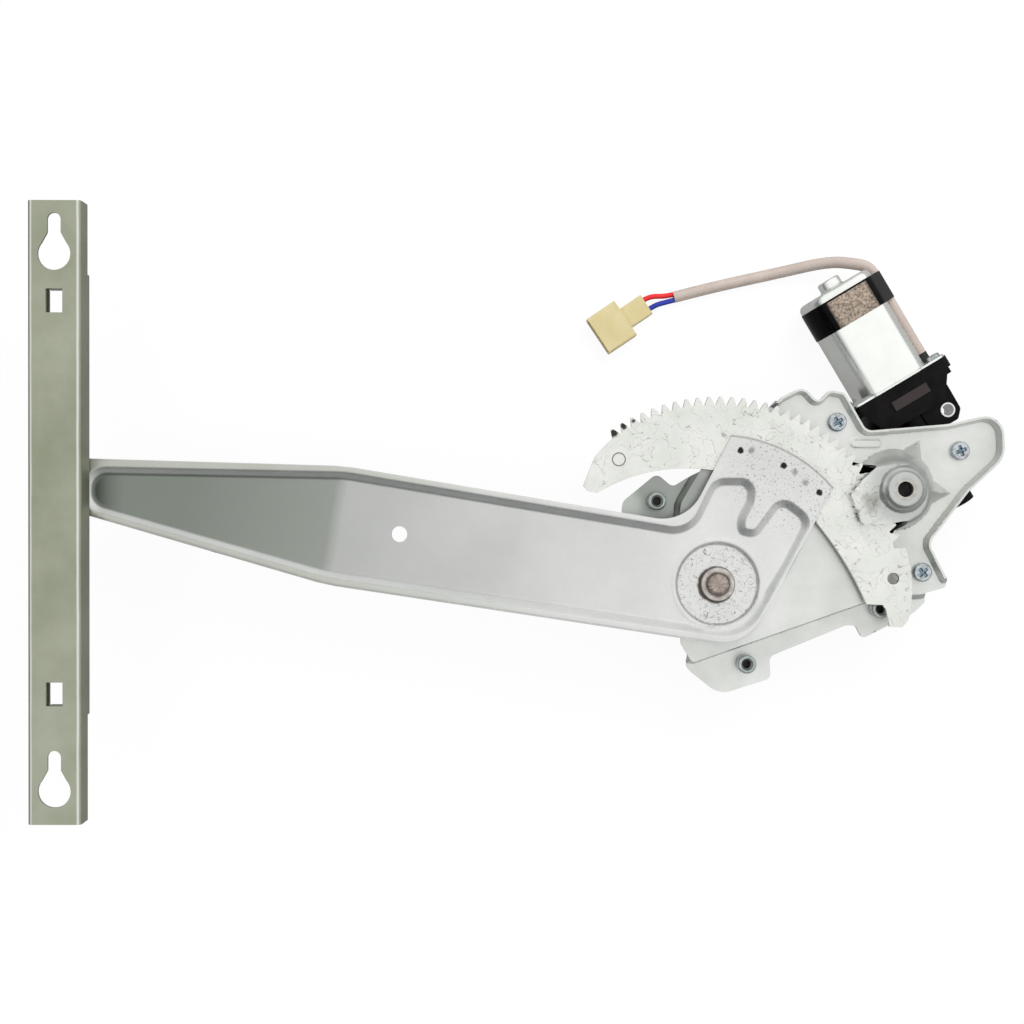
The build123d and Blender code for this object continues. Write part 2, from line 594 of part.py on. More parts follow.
# Gear housing: a moulding with a round chamber for the wheel, a tube for the worm and a flange
with BuildPart() as gear_housing:
    chamber_top = BRACKET_RISE - 4.0
    with BuildSketch(level(FLOOR_Z + WALL, PINION_X, PINION_Y)):
        Circle(CHAMBER_R)
    extrude(amount=chamber_top - FLOOR_Z - WALL)
    with BuildSketch(level(chamber_top, PINION_X, PINION_Y)):
        Circle(CUP_FOOT_R - SHEET - 3)
    extrude(amount=BRACKET_RISE + 2)
    with BuildSketch(motor_plane(-TUBE_BACK)):
        Circle(TUBE_R)
    extrude(amount=TUBE_BACK + CAN_START - FLANGE_T)
    with BuildSketch(motor_plane(NECK_START)):
        Rectangle(BRUSH_WIDTH + 10.0, BRUSH_HEIGHT + 8.0)
    with BuildSketch(motor_plane(CAN_START - FLANGE_T)):
        with Locations((FLANGE_SHIFT, 0)):
            Rectangle(FLANGE_WIDTH - 8.0, FLANGE_HEIGHT)
    loft(ruled=True)
    with BuildSketch(motor_plane(CAN_START - FLANGE_T)):
        with Locations((FLANGE_SHIFT, 0)):
            RectangleRounded(FLANGE_WIDTH, FLANGE_HEIGHT, FLANGE_ROUND)
    extrude(amount=FLANGE_T - CAN_FLANGE_T)
    for screw in MOTOR_SCREWS:
        with BuildSketch(level(-LUG_DEPTH)):
            with BuildLine() as web:
                Line((PINION_X, PINION_Y), screw)
            trace(web.edges(), line_width=LUG_WEB)
            with Locations(screw):
                Circle(LUG_R)
        extrude(amount=LUG_DEPTH + chamber_top)
        with BuildSketch(level(chamber_top)):
            with Locations(screw):
                Circle(LUG_R)
        extrude(amount=BRACKET_RISE - chamber_top)
    with BuildSketch(level(MOTOR_Z - 6)):
        rounded_face(EAR_PLATE)
        with BuildLine() as ear_web:
            Line(on_motor(23.0, 5.0), EAR)
        trace(ear_web.edges(), line_width=EAR_WEB)
    extrude(amount=EAR_T)
    with BuildSketch(motor_plane(CAN_START - FLANGE_T - BLOCK_DEPTH)):
        with Locations((BLOCK_AT, 0)):
            Rectangle(BLOCK_WIDTH, FLANGE_HEIGHT - 2)
    extrude(amount=BLOCK_DEPTH + 1)
    with BuildSketch(motor_plane(PAD_START)):
        with Locations((PAD_AT, -PAD_RISE / 2)):
            Rectangle(PAD_WIDTH, PAD_RISE)
    extrude(amount=PAD_LENGTH)
    with BuildSketch(level(FLOOR_Z + WALL, PINION_X, PINION_Y)):
        Circle(CHAMBER_R - WALL)
    extrude(amount=WHEEL_Z + WHEEL_FACE / 2 + 1.5 - FLOOR_Z - WALL, mode=Mode.SUBTRACT)
    with BuildSketch(motor_plane(-28.0)):
        Circle(WORM_R + 1.6)
    extrude(amount=28.0 + CAN_START + 1, mode=Mode.SUBTRACT)
    with BuildSketch(level(FLOOR_Z, PINION_X, PINION_Y)):
        Circle(SHAFT_R + TURN_GAP)
    extrude(amount=-FLOOR_Z + 12, mode=Mode.SUBTRACT)
    with BuildSketch(level(-8.0)):
        with Locations(*MOTOR_SCREWS):
            Circle(SCREW_R + 0.05)
    extrude(amount=14.0, mode=Mode.SUBTRACT)
    with BuildSketch(level(MOTOR_Z - 7)):
        with Locations(EAR):
            Circle(EAR_SLEEVE_R + 0.01)
    extrude(amount=18.0, mode=Mode.SUBTRACT)
    with BuildSketch(motor_plane(CAN_START - BRUSH_DEPTH)):
        Rectangle(BRUSH_WIDTH, BRUSH_HEIGHT)
    extrude(amount=BRUSH_DEPTH, mode=Mode.SUBTRACT)
    with BuildSketch(motor_plane(CAN_START - FLANGE_T)):
        with Locations(*FLANGE_SCREWS):
            Circle(FLANGE_SCREW_R + TURN_GAP)
    extrude(amount=FLANGE_T, mode=Mode.SUBTRACT)

with BuildPart() as ear_sleeve:
    with BuildSketch(level(MOTOR_Z - 6.5)):
        with Locations(EAR):
            Circle(EAR_SLEEVE_R)
            Circle(EAR_BORE_R, mode=Mode.SUBTRACT)
    extrude(amount=16.0)

with BuildPart() as gear_cover:
    with BuildSketch(level(FLOOR_Z, PINION_X, PINION_Y)):
        Circle(CHAMBER_R)
    extrude(amount=WALL)
    with BuildSketch(level(FLOOR_Z + WALL, PINION_X, PINION_Y)):
        Circle(SHAFT_R + 4)
        Circle(SHAFT_R + TURN_GAP, mode=Mode.SUBTRACT)
    extrude(amount=4.0)
    chamfer(gear_cover.faces().sort_by(Axis.Z)[0].edges().sort_by(SortBy.LENGTH)[-1], 1.0)

# Motor: a drawn can with two flats, magnets inside, and the armature with its worm
def can_section(radius, half_thickness):
    """Circle with two flats, one towards the door and one towards the viewer."""
    Circle(radius)
    Rectangle(2 * radius, 2 * half_thickness, mode=Mode.INTERSECT)


with BuildPart() as motor_can:
    with BuildSketch(motor_plane(CAN_START)):
        can_section(CAN_R, CAN_HALF_T)
    extrude(amount=CAN_END - CAN_START)
    cap_edges = motor_can.faces().sort_by(Axis((0, 0, 0), (ALONG[0], ALONG[1], 0)))[-1].edges()
    chamfer(cap_edges, CAN_CORNER)
    with BuildSketch(motor_plane(CAN_START - CAN_FLANGE_T)):
        with Locations((FLANGE_SHIFT, 0)):
            RectangleRounded(FLANGE_WIDTH - 2 * CAN_LIP, FLANGE_HEIGHT, FLANGE_ROUND)
    extrude(amount=CAN_FLANGE_T)
    with BuildSketch(motor_plane(CAN_END - 1)):
        Circle(BOSS_R)
    extrude(amount=BOSS_LENGTH - 1)
    with BuildSketch(motor_plane(CAN_START - CAN_FLANGE_T)):
        can_section(CAN_R - CAN_WALL, CAN_HALF_T - CAN_WALL)
    extrude(amount=CAN_END - CAN_CORNER - CAN_START + CAN_FLANGE_T, mode=Mode.SUBTRACT)
    with BuildSketch(motor_plane(CAN_END - CAN_CORNER)):
        can_section(CAN_R - CAN_WALL - CAN_CORNER, CAN_HALF_T - CAN_WALL - CAN_CORNER)
    extrude(amount=CAN_CORNER - CAN_WALL, mode=Mode.SUBTRACT)
    with BuildSketch(motor_plane(CAN_END - 3)):
        Circle(BOSS_R - CAN_WALL)
    extrude(amount=BOSS_LENGTH + 0.6, mode=Mode.SUBTRACT)
    with BuildSketch(motor_plane(CAN_START - CAN_FLANGE_T)):
        with Locations(*FLANGE_SCREWS):
            Circle(FLANGE_SCREW_R + 0.2)
    extrude(amount=CAN_FLANGE_T, mode=Mode.SUBTRACT)

with BuildPart() as can_bush:
    with BuildSketch(motor_plane(CAN_END - 2)):
        Circle(BOSS_R - CAN_WALL - 0.01)
        Circle(2.55, mode=Mode.SUBTRACT)
    extrude(amount=5.0)

with BuildPart() as motor_magnets:
    with BuildSketch(motor_plane(CAN_START + 14)):
        can_section(CAN_R - CAN_WALL - 0.05, CAN_HALF_T - CAN_WALL - 0.05)
        Circle(13.4, mode=Mode.SUBTRACT)
        Rectangle(12.0, 2 * CAN_R, mode=Mode.SUBTRACT)
    extrude(amount=38.0)

ARMATURE_R = 12.0

with BuildPart() as armature_shaft:
    with BuildSketch(motor_plane(-27.0)):
        Circle(2.5)
    extrude(amount=27.0 + CAN_END + 1)
    with BuildSketch(motor_plane(-WORM_LENGTH / 2)):
        Circle(WORM_R)
    extrude(amount=WORM_LENGTH)

with BuildPart() as armature_core:
    with BuildSketch(motor_plane(CAN_START + 16)):
        Circle(ARMATURE_R)
        with PolarLocations(ARMATURE_R, 8):
            Rectangle(5.0, 1.6, mode=Mode.SUBTRACT)
        Circle(2.5, mode=Mode.SUBTRACT)
    extrude(amount=32.0)

with BuildPart() as commutator:
    with BuildSketch(motor_plane(CAN_START - 8)):
        Circle(7.0)
        Circle(2.5, mode=Mode.SUBTRACT)
    extrude(amount=12.0)

with BuildPart() as brush_holder:
    with BuildSketch(motor_plane(CAN_START - 14)):
        Rectangle(BRUSH_WIDTH - 1.0, BRUSH_HEIGHT - 1.0)
        Circle(WORM_R + 1.6, mode=Mode.SUBTRACT)
    extrude(amount=4.0)
    with BuildSketch(motor_plane(CAN_START - 10)):
        with Locations((11.0, 0), (-11.0, 0)):
            Rectangle(6.4, 8.0)
    extrude(amount=10.0)

# Fasteners of the motor
with BuildPart() as motor_mount_screws:
    with BuildSketch(level(-6.0)):
        with Locations(*MOTOR_SCREWS):
            Circle(SCREW_R)
    extrude(amount=6.0 + BRACKET_TOP)
    with BuildSketch(level(BRACKET_TOP)):
        with Locations(*MOTOR_SCREWS):
            Circle(SCREW_HEAD_R)
    extrude(amount=SCREW_HEAD_T)
    chamfer(motor_mount_screws.faces().sort_by(Axis.Z)[-3:].edges(), 1.0)
    with BuildSketch(level(BRACKET_TOP + SCREW_HEAD_T - 2)):
        with Locations(*MOTOR_SCREWS):
            Rectangle(SCREW_HEAD_R, 1.3, rotation=35)
            Rectangle(1.3, SCREW_HEAD_R, rotation=35)
    extrude(amount=2.0, mode=Mode.SUBTRACT)

with BuildPart() as flange_screws:
    with BuildSketch(motor_plane(CAN_START - FLANGE_T + 1)):
        with Locations(*FLANGE_SCREWS):
            Circle(FLANGE_SCREW_R)
    extrude(amount=FLANGE_T - 1)
    with BuildSketch(motor_plane(CAN_START)):
        with Locations(*FLANGE_SCREWS):
            Circle(2 * FLANGE_SCREW_R)
    extrude(amount=2.6)

# Cable: along the can, over its shoulder and down to the surface, then two wires and the plug
CABLE_DROP = 3.0
GROMMET_LENGTH = 6.0
CABLE_Z = MOTOR_Z - CABLE_DROP
LIE_Z = FLOOR_Z + CABLE_D / 2
CABLE_START = on_motor(CAN_START + GROMMET_LENGTH, CABLE_OFFSET)
CABLE_ROUTE = [
    (CABLE_START[0], CABLE_START[1], CABLE_Z), (114.4, 166.6, CABLE_Z), (103.3, 185.4, CABLE_Z),
    (98.2, 193.5, CABLE_Z), (88.0, 195.5, -18.5), (78.5, 197.0, -21.5), (67.0, 196.0, -25.0),
    (53.0, 193.2, -28.5), (37.0, 189.7, LIE_Z), (17.0, 185.3, LIE_Z), (-3.0, 180.6, LIE_Z),
    (-20.0, 176.1, LIE_Z),
]


def route_radii(points):
    """Largest bend at each inner point that its two runs allow."""
    radii = []
    for before, here, after in zip(points, points[1:], points[2:]):
        arrive = Vector(*here) - Vector(*before)
        leave = Vector(*after) - Vector(*here)
        turn = arrive.get_angle(leave)
        radii.append(0.45 * min(arrive.length, leave.length) / tan(radians(turn / 2)))
    return radii


def placed(points):
    """Route points counted from the pivot, in the frame of the part."""
    return [(PIVOT_X + x, PIVOT_Y + y, z) for x, y, z in points]


def cord_tube(points, diameter):
    """Round tube along straight runs joined by tangent arcs."""
    route = placed(points)
    with BuildPart() as tube:
        with BuildLine() as path:
            FilletPolyline(route, radius=route_radii(route))
        with BuildSketch(Plane(path.line @ 0, z_dir=path.line % 0)):
            Circle(diameter / 2)
        sweep()
    length = path.wire().length
    print("radii", [round(r, 1) for r in route_radii(route)], "length", round(length, 1),
          "volume ratio", round(tube.part.volume / (pi * diameter ** 2 / 4 * length), 4))
    return tube.part


PLUG_DIR = polar(1.0, PLUG_ANGLE)
PLUG_SIDE = polar(1.0, PLUG_ANGLE - 90)
WIRE_Z = LIE_Z + 0.6
WIRE_SPREAD = 1.8
WIRE_LEAD = 5.0
PIN_SPREAD = 3.3


def wire_route(side):
    """Short bowed wire from the sheath's end to the plug's neck."""
    start = CABLE_ROUTE[-1]
    aim = Vector(start[0] - CABLE_ROUTE[-2][0], start[1] - CABLE_ROUTE[-2][1], 0).normalized()
    left = (-aim.Y, aim.X)
    first = (start[0] - WIRE_SPREAD * left[0] * side, start[1] - WIRE_SPREAD * left[1] * side, WIRE_Z)
    second = (first[0] + WIRE_LEAD * aim.X, first[1] + WIRE_LEAD * aim.Y, WIRE_Z)
    last = (NECK_END[0] + side * PIN_SPREAD * PLUG_SIDE[0], NECK_END[1] + side * PIN_SPREAD * PLUG_SIDE[1],
            WIRE_Z)
    third = (last[0] - WIRE_LEAD * PLUG_DIR[0], last[1] - WIRE_LEAD * PLUG_DIR[1], WIRE_Z)
    return [first, second, third, last]


motor_cable = cord_tube(CABLE_ROUTE, CABLE_D)
wire_red = cord_tube(wire_route(1), WIRE_D)
wire_blue = cord_tube(wire_route(-1), WIRE_D)

with BuildPart() as cable_grommet:
    with BuildSketch(motor_plane(CAN_START)):
        with Locations((CABLE_OFFSET, CABLE_DROP)):
            Circle(CABLE_D / 2 + 0.25)
    with BuildSketch(motor_plane(CAN_START + GROMMET_LENGTH - TURN_GAP)):
        with Locations((CABLE_OFFSET, CABLE_DROP)):
            Circle(CABLE_D / 2 + 0.1)
    loft()

TAPE_START, TAPE_END = 98.5, 117.0
TAPE_T = 0.5

with BuildPart() as cable_tape:
    with BuildSketch(motor_plane(TAPE_START)):
        can_section(CAN_R + TAPE_T, CAN_HALF_T + TAPE_T)
        with Locations((CABLE_OFFSET, CABLE_DROP)):
            Circle(CABLE_D / 2 + TAPE_T + 0.4)
        with Locations((CABLE_OFFSET - 5, CABLE_DROP)):
            Rectangle(10.0, CABLE_D + 2 * TAPE_T + 0.4)
    extrude(amount=TAPE_END - TAPE_START)
    with BuildSketch(motor_plane(TAPE_START)):
        can_section(CAN_R + 0.02, CAN_HALF_T + 0.02)
    extrude(amount=TAPE_END - TAPE_START, mode=Mode.SUBTRACT)
    with BuildSketch(motor_plane(TAPE_START)):
        with Locations((CABLE_OFFSET, CABLE_DROP)):
            Circle(CABLE_D / 2 + 0.4)
    extrude(amount=TAPE_END - TAPE_START, mode=Mode.SUBTRACT)


def plug_plane(along, height):
    """Plane across the plug at a distance from the neck's wire end."""
    x = PIVOT_X + NECK_END[0] + along * PLUG_DIR[0]
    y = PIVOT_Y + NECK_END[1] + along * PLUG_DIR[1]
    return Plane((x, y, height), x_dir=(PLUG_SIDE[0], PLUG_SIDE[1], 0), z_dir=(PLUG_DIR[0], PLUG_DIR[1], 0))


NECK_Z = WIRE_Z
HOOD_Z = FLOOR_Z + HOOD_HEIGHT / 2

with BuildPart() as connector_shell:
    with BuildSketch(plug_plane(0, NECK_Z)):
        RectangleRounded(NECK_WIDTH, NECK_HEIGHT, 1.2)
    extrude(amount=NECK_LENGTH)
    with BuildSketch(plug_plane(NECK_LENGTH - HOOD_LAP, HOOD_Z)):
        RectangleRounded(HOOD_WIDTH, HOOD_HEIGHT, 1.5)
    extrude(amount=HOOD_LENGTH)
    with BuildSketch(plug_plane(NECK_LENGTH + 2.0, HOOD_Z)):
        Rectangle(HOOD_WIDTH - 3.0, HOOD_HEIGHT - 3.0)
    extrude(amount=HOOD_LENGTH, mode=Mode.SUBTRACT)

with BuildPart() as connector_terminals:
    with BuildSketch(plug_plane(NECK_LENGTH + 2.0, HOOD_Z)):
        with Locations((-5.0, 0), (5.0, 0)):
            Rectangle(6.3, 0.8)
    extrude(amount=11.0)

pieces = {
    "base_plate": base_plate.part, "door_weld_nuts": door_weld_nuts.part, "pivot_rivet": pivot_rivet.part,
    "pivot_washer": pivot_washer.part, "pivot_retainer": pivot_retainer.part, "lift_arm": lift_arm.part,
    "sector_gear": sector_gear.part, "arm_stud": arm_stud.part, "rail_slider": rail_slider.part,
    "lift_rail": lift_rail.part, "pinion_gear": pinion_gear.part, "pinion_bush": pinion_bush.part,
    "output_shaft": output_shaft.part, "drive_damper": drive_damper.part, "worm_wheel": worm_wheel.part,
    "gear_housing": gear_housing.part, "ear_sleeve": ear_sleeve.part, "gear_cover": gear_cover.part,
    "motor_can": motor_can.part, "can_bush": can_bush.part, "motor_magnets": motor_magnets.part,
    "armature_shaft": armature_shaft.part, "armature_core": armature_core.part,
    "commutator": commutator.part, "brush_holder": brush_holder.part,
    "motor_mount_screws": motor_mount_screws.part, "flange_screws": flange_screws.part,
    "motor_cable": motor_cable, "wire_red": wire_red, "wire_blue": wire_blue,
    "cable_grommet": cable_grommet.part, "cable_tape": cable_tape.part,
    "connector_shell": connector_shell.part, "connector_terminals": connector_terminals.part,
}

os.makedirs("parts", exist_ok=True)
for name, piece in pieces.items():
    piece.label = name
    export_step(piece, f"parts/{name}.step")
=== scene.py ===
import json
from math import atan2, cos, degrees, pi, radians, sin, tan

import bmesh
import bpy
import numpy as np
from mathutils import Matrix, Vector
from mathutils.geometry import delaunay_2d_cdt


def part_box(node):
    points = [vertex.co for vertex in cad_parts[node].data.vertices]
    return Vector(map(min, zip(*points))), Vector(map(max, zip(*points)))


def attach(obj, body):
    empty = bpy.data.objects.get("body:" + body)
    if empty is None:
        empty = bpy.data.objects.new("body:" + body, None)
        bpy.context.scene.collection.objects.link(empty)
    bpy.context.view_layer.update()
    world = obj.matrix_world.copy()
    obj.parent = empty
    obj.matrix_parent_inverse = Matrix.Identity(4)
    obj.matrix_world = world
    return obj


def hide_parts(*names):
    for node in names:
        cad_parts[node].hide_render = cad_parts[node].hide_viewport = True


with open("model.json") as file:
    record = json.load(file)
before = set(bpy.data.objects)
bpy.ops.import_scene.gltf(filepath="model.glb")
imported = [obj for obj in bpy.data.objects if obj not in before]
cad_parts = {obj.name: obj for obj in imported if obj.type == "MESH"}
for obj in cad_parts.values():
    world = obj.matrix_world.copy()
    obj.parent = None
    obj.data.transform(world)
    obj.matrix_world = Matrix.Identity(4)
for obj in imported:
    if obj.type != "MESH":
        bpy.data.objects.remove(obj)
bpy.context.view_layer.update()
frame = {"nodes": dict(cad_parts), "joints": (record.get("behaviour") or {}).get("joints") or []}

# The set. A pale table under the regulator, a bright room, two soft boxes that aren't seen in the metal,
# and a camera almost square above. Everything is in metres in the part's frame, +Z towards the camera.
MM = 0.001
TABLE_Z = min(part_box("gear_housing")[0].z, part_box("gear_cover")[0].z)
WHITE = "ffffff"
CAMERA_AT = (-0.1439, 0.0963, 0.7212)
CAMERA_TURN = (-0.48, -0.31, 0.14)
TABLE_GLOW, TABLE_IN_METAL = 0.93, 0.32
TABLE_HALF = 3
PICTURE_PX = 1024
FOCAL_PX = 1200
SENSOR_MM = 36.0


def linear(code):
    """Red, green, blue and alpha of an sRGB hex code in linear light."""
    channels = [int(code[i:i + 2], 16) / 255 for i in (0, 2, 4)]
    return [c / 12.92 if c <= 0.04045 else ((c + 0.055) / 1.055) ** 2.4 for c in channels] + [1.0]


def add(tree, kind, inputs=None, **settings):
    """Add a node: settings are its properties, inputs its sockets, each set to a value or linked."""
    made = tree.nodes.new(kind)
    for name, value in settings.items():
        setattr(made, name, value)
    for key, value in (inputs or {}).items():
        if isinstance(value, bpy.types.NodeSocket):
            tree.links.new(value, made.inputs[key])
        else:
            made.inputs[key].default_value = value
    return made


def maths(tree, operation, *values):
    """Math node on one to three values."""
    return add(tree, "ShaderNodeMath", dict(enumerate(values)), operation=operation).outputs[0]


def ranged(tree, value, start, end, low=0.0, high=1.0, **settings):
    """Share of the way of a value from start to end, turned into a number from low to high."""
    return add(tree, "ShaderNodeMapRange", {0: value, 1: start, 2: end, 3: low, 4: high},
               **settings).outputs[0]


def axes_of(tree, vector):
    """X, Y and Z of a vector as three sockets."""
    return add(tree, "ShaderNodeSeparateXYZ", {0: vector}).outputs


def linked(name, data):
    """New object that holds the data, linked to the scene."""
    piece = bpy.data.objects.new(name, data)
    bpy.context.scene.collection.objects.link(piece)
    return piece


def pale_table():
    """Matt white card: plain white to the camera with a faint shadow, and dimmer in the metal's sides."""
    material = bpy.data.materials.new("matt_white_card")
    material.use_nodes = True
    tree = material.node_tree
    shader = tree.nodes["Principled BSDF"]
    shader.inputs["Base Color"].default_value = linear("f4f4f4")
    shader.inputs["Roughness"].default_value = 0.9
    rays = add(tree, "ShaderNodeLightPath")
    seen = maths(tree, "MAXIMUM", rays.outputs["Is Camera Ray"], rays.outputs["Is Glossy Ray"])
    seen = maths(tree, "MAXIMUM", seen, rays.outputs["Is Transmission Ray"])
    power = maths(tree, "MULTIPLY_ADD", rays.outputs["Is Glossy Ray"], TABLE_IN_METAL - 1, 1.0)
    glow = add(tree, "ShaderNodeEmission", {"Color": linear(WHITE), "Strength": power})
    surface = add(tree, "ShaderNodeMixShader", {0: maths(tree, "MULTIPLY", seen, TABLE_GLOW),
                                                1: shader.outputs[0], 2: glow.outputs[0]})
    tree.links.new(surface.outputs[0], tree.nodes["Material Output"].inputs["Surface"])
    return material


table_mesh = bpy.data.meshes.new("table")
table_corners = [(-TABLE_HALF, -TABLE_HALF), (TABLE_HALF, -TABLE_HALF), (TABLE_HALF, TABLE_HALF),
                 (-TABLE_HALF, TABLE_HALF)]
table_mesh.from_pydata([(x, y, TABLE_Z) for x, y in table_corners], [], [(0, 1, 2, 3)])
table_mesh.materials.append(pale_table())
table = linked("table", table_mesh)


def studio_sky():
    """Room light: bright above, dark near the horizon except towards +Y, so sloping metal has contrast."""
    world = bpy.data.worlds.new("studio")
    world.use_nodes = True
    tree = world.node_tree
    axes = axes_of(tree, add(tree, "ShaderNodeTexCoord").outputs["Generated"])
    side = maths(tree, "MULTIPLY_ADD", axes["X"], 0.25, axes["Z"])
    height = maths(tree, "MULTIPLY_ADD", axes["Y"], 0.3, side)
    ramp = add(tree, "ShaderNodeValToRGB", {0: ranged(tree, height, -0.05, 0.75)})
    ramp.color_ramp.elements[0].color = linear("3c4144")
    ramp.color_ramp.elements[1].color = linear("fbfcfc")
    middle = ramp.color_ramp.elements.new(0.45)
    middle.color = linear("c9cccc")
    room = tree.nodes["Background"]
    room.inputs["Strength"].default_value = 1.04
    tree.links.new(ramp.outputs[0], room.inputs["Color"])
    rays = add(tree, "ShaderNodeLightPath")
    white = add(tree, "ShaderNodeBackground", {"Color": linear(WHITE), "Strength": 1.0})
    seen = add(tree, "ShaderNodeMixShader", {0: rays.outputs["Is Camera Ray"], 1: room.outputs[0],
                                             2: white.outputs[0]})
    tree.links.new(seen.outputs[0], tree.nodes["World Output"].inputs["Surface"])
    return world


bpy.context.scene.world = studio_sky()


def soft_light(name, place, target, size, watts):
    """Square soft box aimed at a point, not seen itself in the metal."""
    data = bpy.data.lights.new(name, "AREA")
    data.shape = "SQUARE"
    data.size = size
    data.energy = watts
    lamp = linked(name, data)
    lamp.location = place
    lamp.rotation_euler = (Vector(target) - Vector(place)).to_track_quat("-Z", "Y").to_euler()
    lamp.visible_glossy = False


MIDDLE = (-0.14, 0.09, 0.0)
soft_light("key", (0.35, 0.95, 0.85), MIDDLE, size=0.7, watts=9.0)
soft_light("fill", (-0.9, -0.3, 1.0), MIDDLE, size=0.8, watts=3.0)

lens = bpy.data.cameras.new("camera")
lens.sensor_width = SENSOR_MM
lens.lens = FOCAL_PX / PICTURE_PX * SENSOR_MM
camera = linked("camera", lens)
camera.location = CAMERA_AT
camera.rotation_euler = [radians(a) for a in CAMERA_TURN]
bpy.context.scene.camera = camera
bpy.context.scene.view_settings.view_transform = "Standard"

# Base plate. One stamping of 2 mm zinc-plated steel with three feet, a raised centre for the arm's
# pivot, a bracket with a turned-up rim and a cup drawn over the pinion with two pressed gussets.
joints = {joint["name"]: joint for joint in frame["joints"]}
PIVOT = np.array(joints["lift_swing"]["pos_m"]) / MM
PINION = np.array(joints["pinion_turn"]["pos_m"]) / MM - PIVOT
SHEET = 2.0
EDGE_CLEARANCE, POINT_CELL = 0.35, 0.4
FOOT_TOP, BRACKET_TOP, BASE_TOP = 2.0, 6.0, 12.0
RAISED_BEND, BRACKET_BEND = 2.4, 3.5
RIM_HEIGHT, RIM_START, RIM_BEND, RIM_FADE = 5.5, 3.2, 2.0, 3.0
SECTOR_TIP_R, SECTOR_CLEARANCE = 110.1, 1.6
LOWER_FEET = [
    (-17.4, -40.5, 2), (-15.5, -52.0, 9), (4.0, -67.5, 14), (34.8, -57.6, 4), (34.0, -44.5, 4),
    (80.0, -25.6, 3), (85.6, -25.8, 2), (89.8, -33.6, 2.5), (121.0, -17.8, 6), (127.5, -11.5, 2),
    (126.0, -4.0, 1), (92.0, 2.0, 1), (40.0, -15.0, 1), (-8.0, -34.0, 1),
]
UPPER_FOOT = [
    (-55.5, 40.0, 8), (-54.0, 48.6, 5), (-34.0, 65.2, 4), (-24.5, 57.2, 4), (-4.0, 70.0, 1),
    (4.0, 50.0, 1), (-14.0, 12.0, 1), (-30.0, 22.0, 8),
]
RAISED = [
    (-24.0, 10.0, 6), (-20.5, -36.0, 5), (-14.0, -47.0, 3), (94.0, -8.8, 3), (83.5, 9.0, 20),
    (66.0, 44.0, 30), (38.0, 71.0, 30), (-6.0, 72.5, 5), (-21.0, 47.5, 12),
]
BRACKET = [
    (38.6, 110.3, 5), (51.5, 117.0, 7), (60.0, 107.6, 3), (67.0, 114.8, 5), (76.0, 113.2, 5),
    (89.0, 90.6, 6), (138.0, 94.8, 12), (170.0, 102.0, 17), (171.5, 75.0, 15), (150.0, 55.0, 9),
    (126.5, 24.0, 6), (139.8, -2.0, 2.5), (124.0, -6.5, 6), (114.0, -6.9, 1), (86.0, 0.0, 1),
    (66.0, 30.0, 2), (30.0, 66.0, 2), (-5.0, 68.0, 2),
]
HOOD = [
    (76.2, 52.5, 2.5), (82.1, 60.1, 3), (90.2, 67.7, 1), (108.0, 68.0, 6), (116.0, 64.5, 5), (119.5, 56.0, 5),
    (119.0, 48.0, 5), (116.0, 42.5, 3), (108.5, 37.5, 1), (97.6, 35.7, 3), (83.2, 35.1, 2.5),
]
SLOT_ROUND_HOOD = [
    (82.0, 72.6, 1), (92.6, 69.6, 1), *HOOD[2::-1], *HOOD[:7:-1], (111.0, 37.6, 1), (106.0, 28.6, 1),
    (80.5, 29.2, 4), (71.5, 52.5, 4), (77.5, 66.0, 3),
]
BRIDGE = [(88.0, -9.5, 1), (126.0, -9.5, 1), (126.0, -4.5, 1), (88.0, -4.5, 1)]
NUTS = [(19.2, -48.3), (-34.7, 48.7), (99.0, -15.2)]
NUT_HOLE_R = 3.9
MOTOR_SCREWS = [(72.7, 96.0), (146.1, 79.1), (123.9, 6.6)]
MOTOR_SCREW_HOLE_R = 3.1
COLLAR_R = [0, 9.6, 10.4, 11.2, 12.8, 14.0]
COLLAR_Z = [28.0, 28.0, 27.2, 26.2, 25.2, 23.2]
DOME_FOOT_R = 24.3
DOME_SHARE = [0.0, 0.2, 0.4, 0.6, 0.85, 1.0]
DOME_Z = [23.4, 22.9, 20.6, 16.2, 9.0, 6.0]
CUP_RINGS = [8.2, 9.6, 10.0, 10.4, 11.2, 12.0, 12.8, 14.0, 15.4, 16.8, 18.2, 19.6, 21.0, 22.2, 23.4, 24.3,
             25.6]
GUSSETS = [(63.0, 33.5), (-3.3, 34.3)]
GUSSET_HALF, GUSSET_HEIGHT = 22.0, 20.3
BUSH_R = 6.7
RIVET_SHANK_R = 7.9
SLOT_RIB = (83.4, 97.1, 83.2, 2.2, 0.7)
HOOD_DENTS = [
    (84.9, 50.3, 2.5, -1.3), (88.4, 45.8, 1.6, 0.9), (92.8, 49.4, 3.0, -1.4), (79.5, 54.7, 1.8, 0.8),
    (86.5, 41.0, 2.0, -1.0), (93.8, 59.2, 2.5, 0.7), (90.2, 38.7, 2.0, 0.8),
]


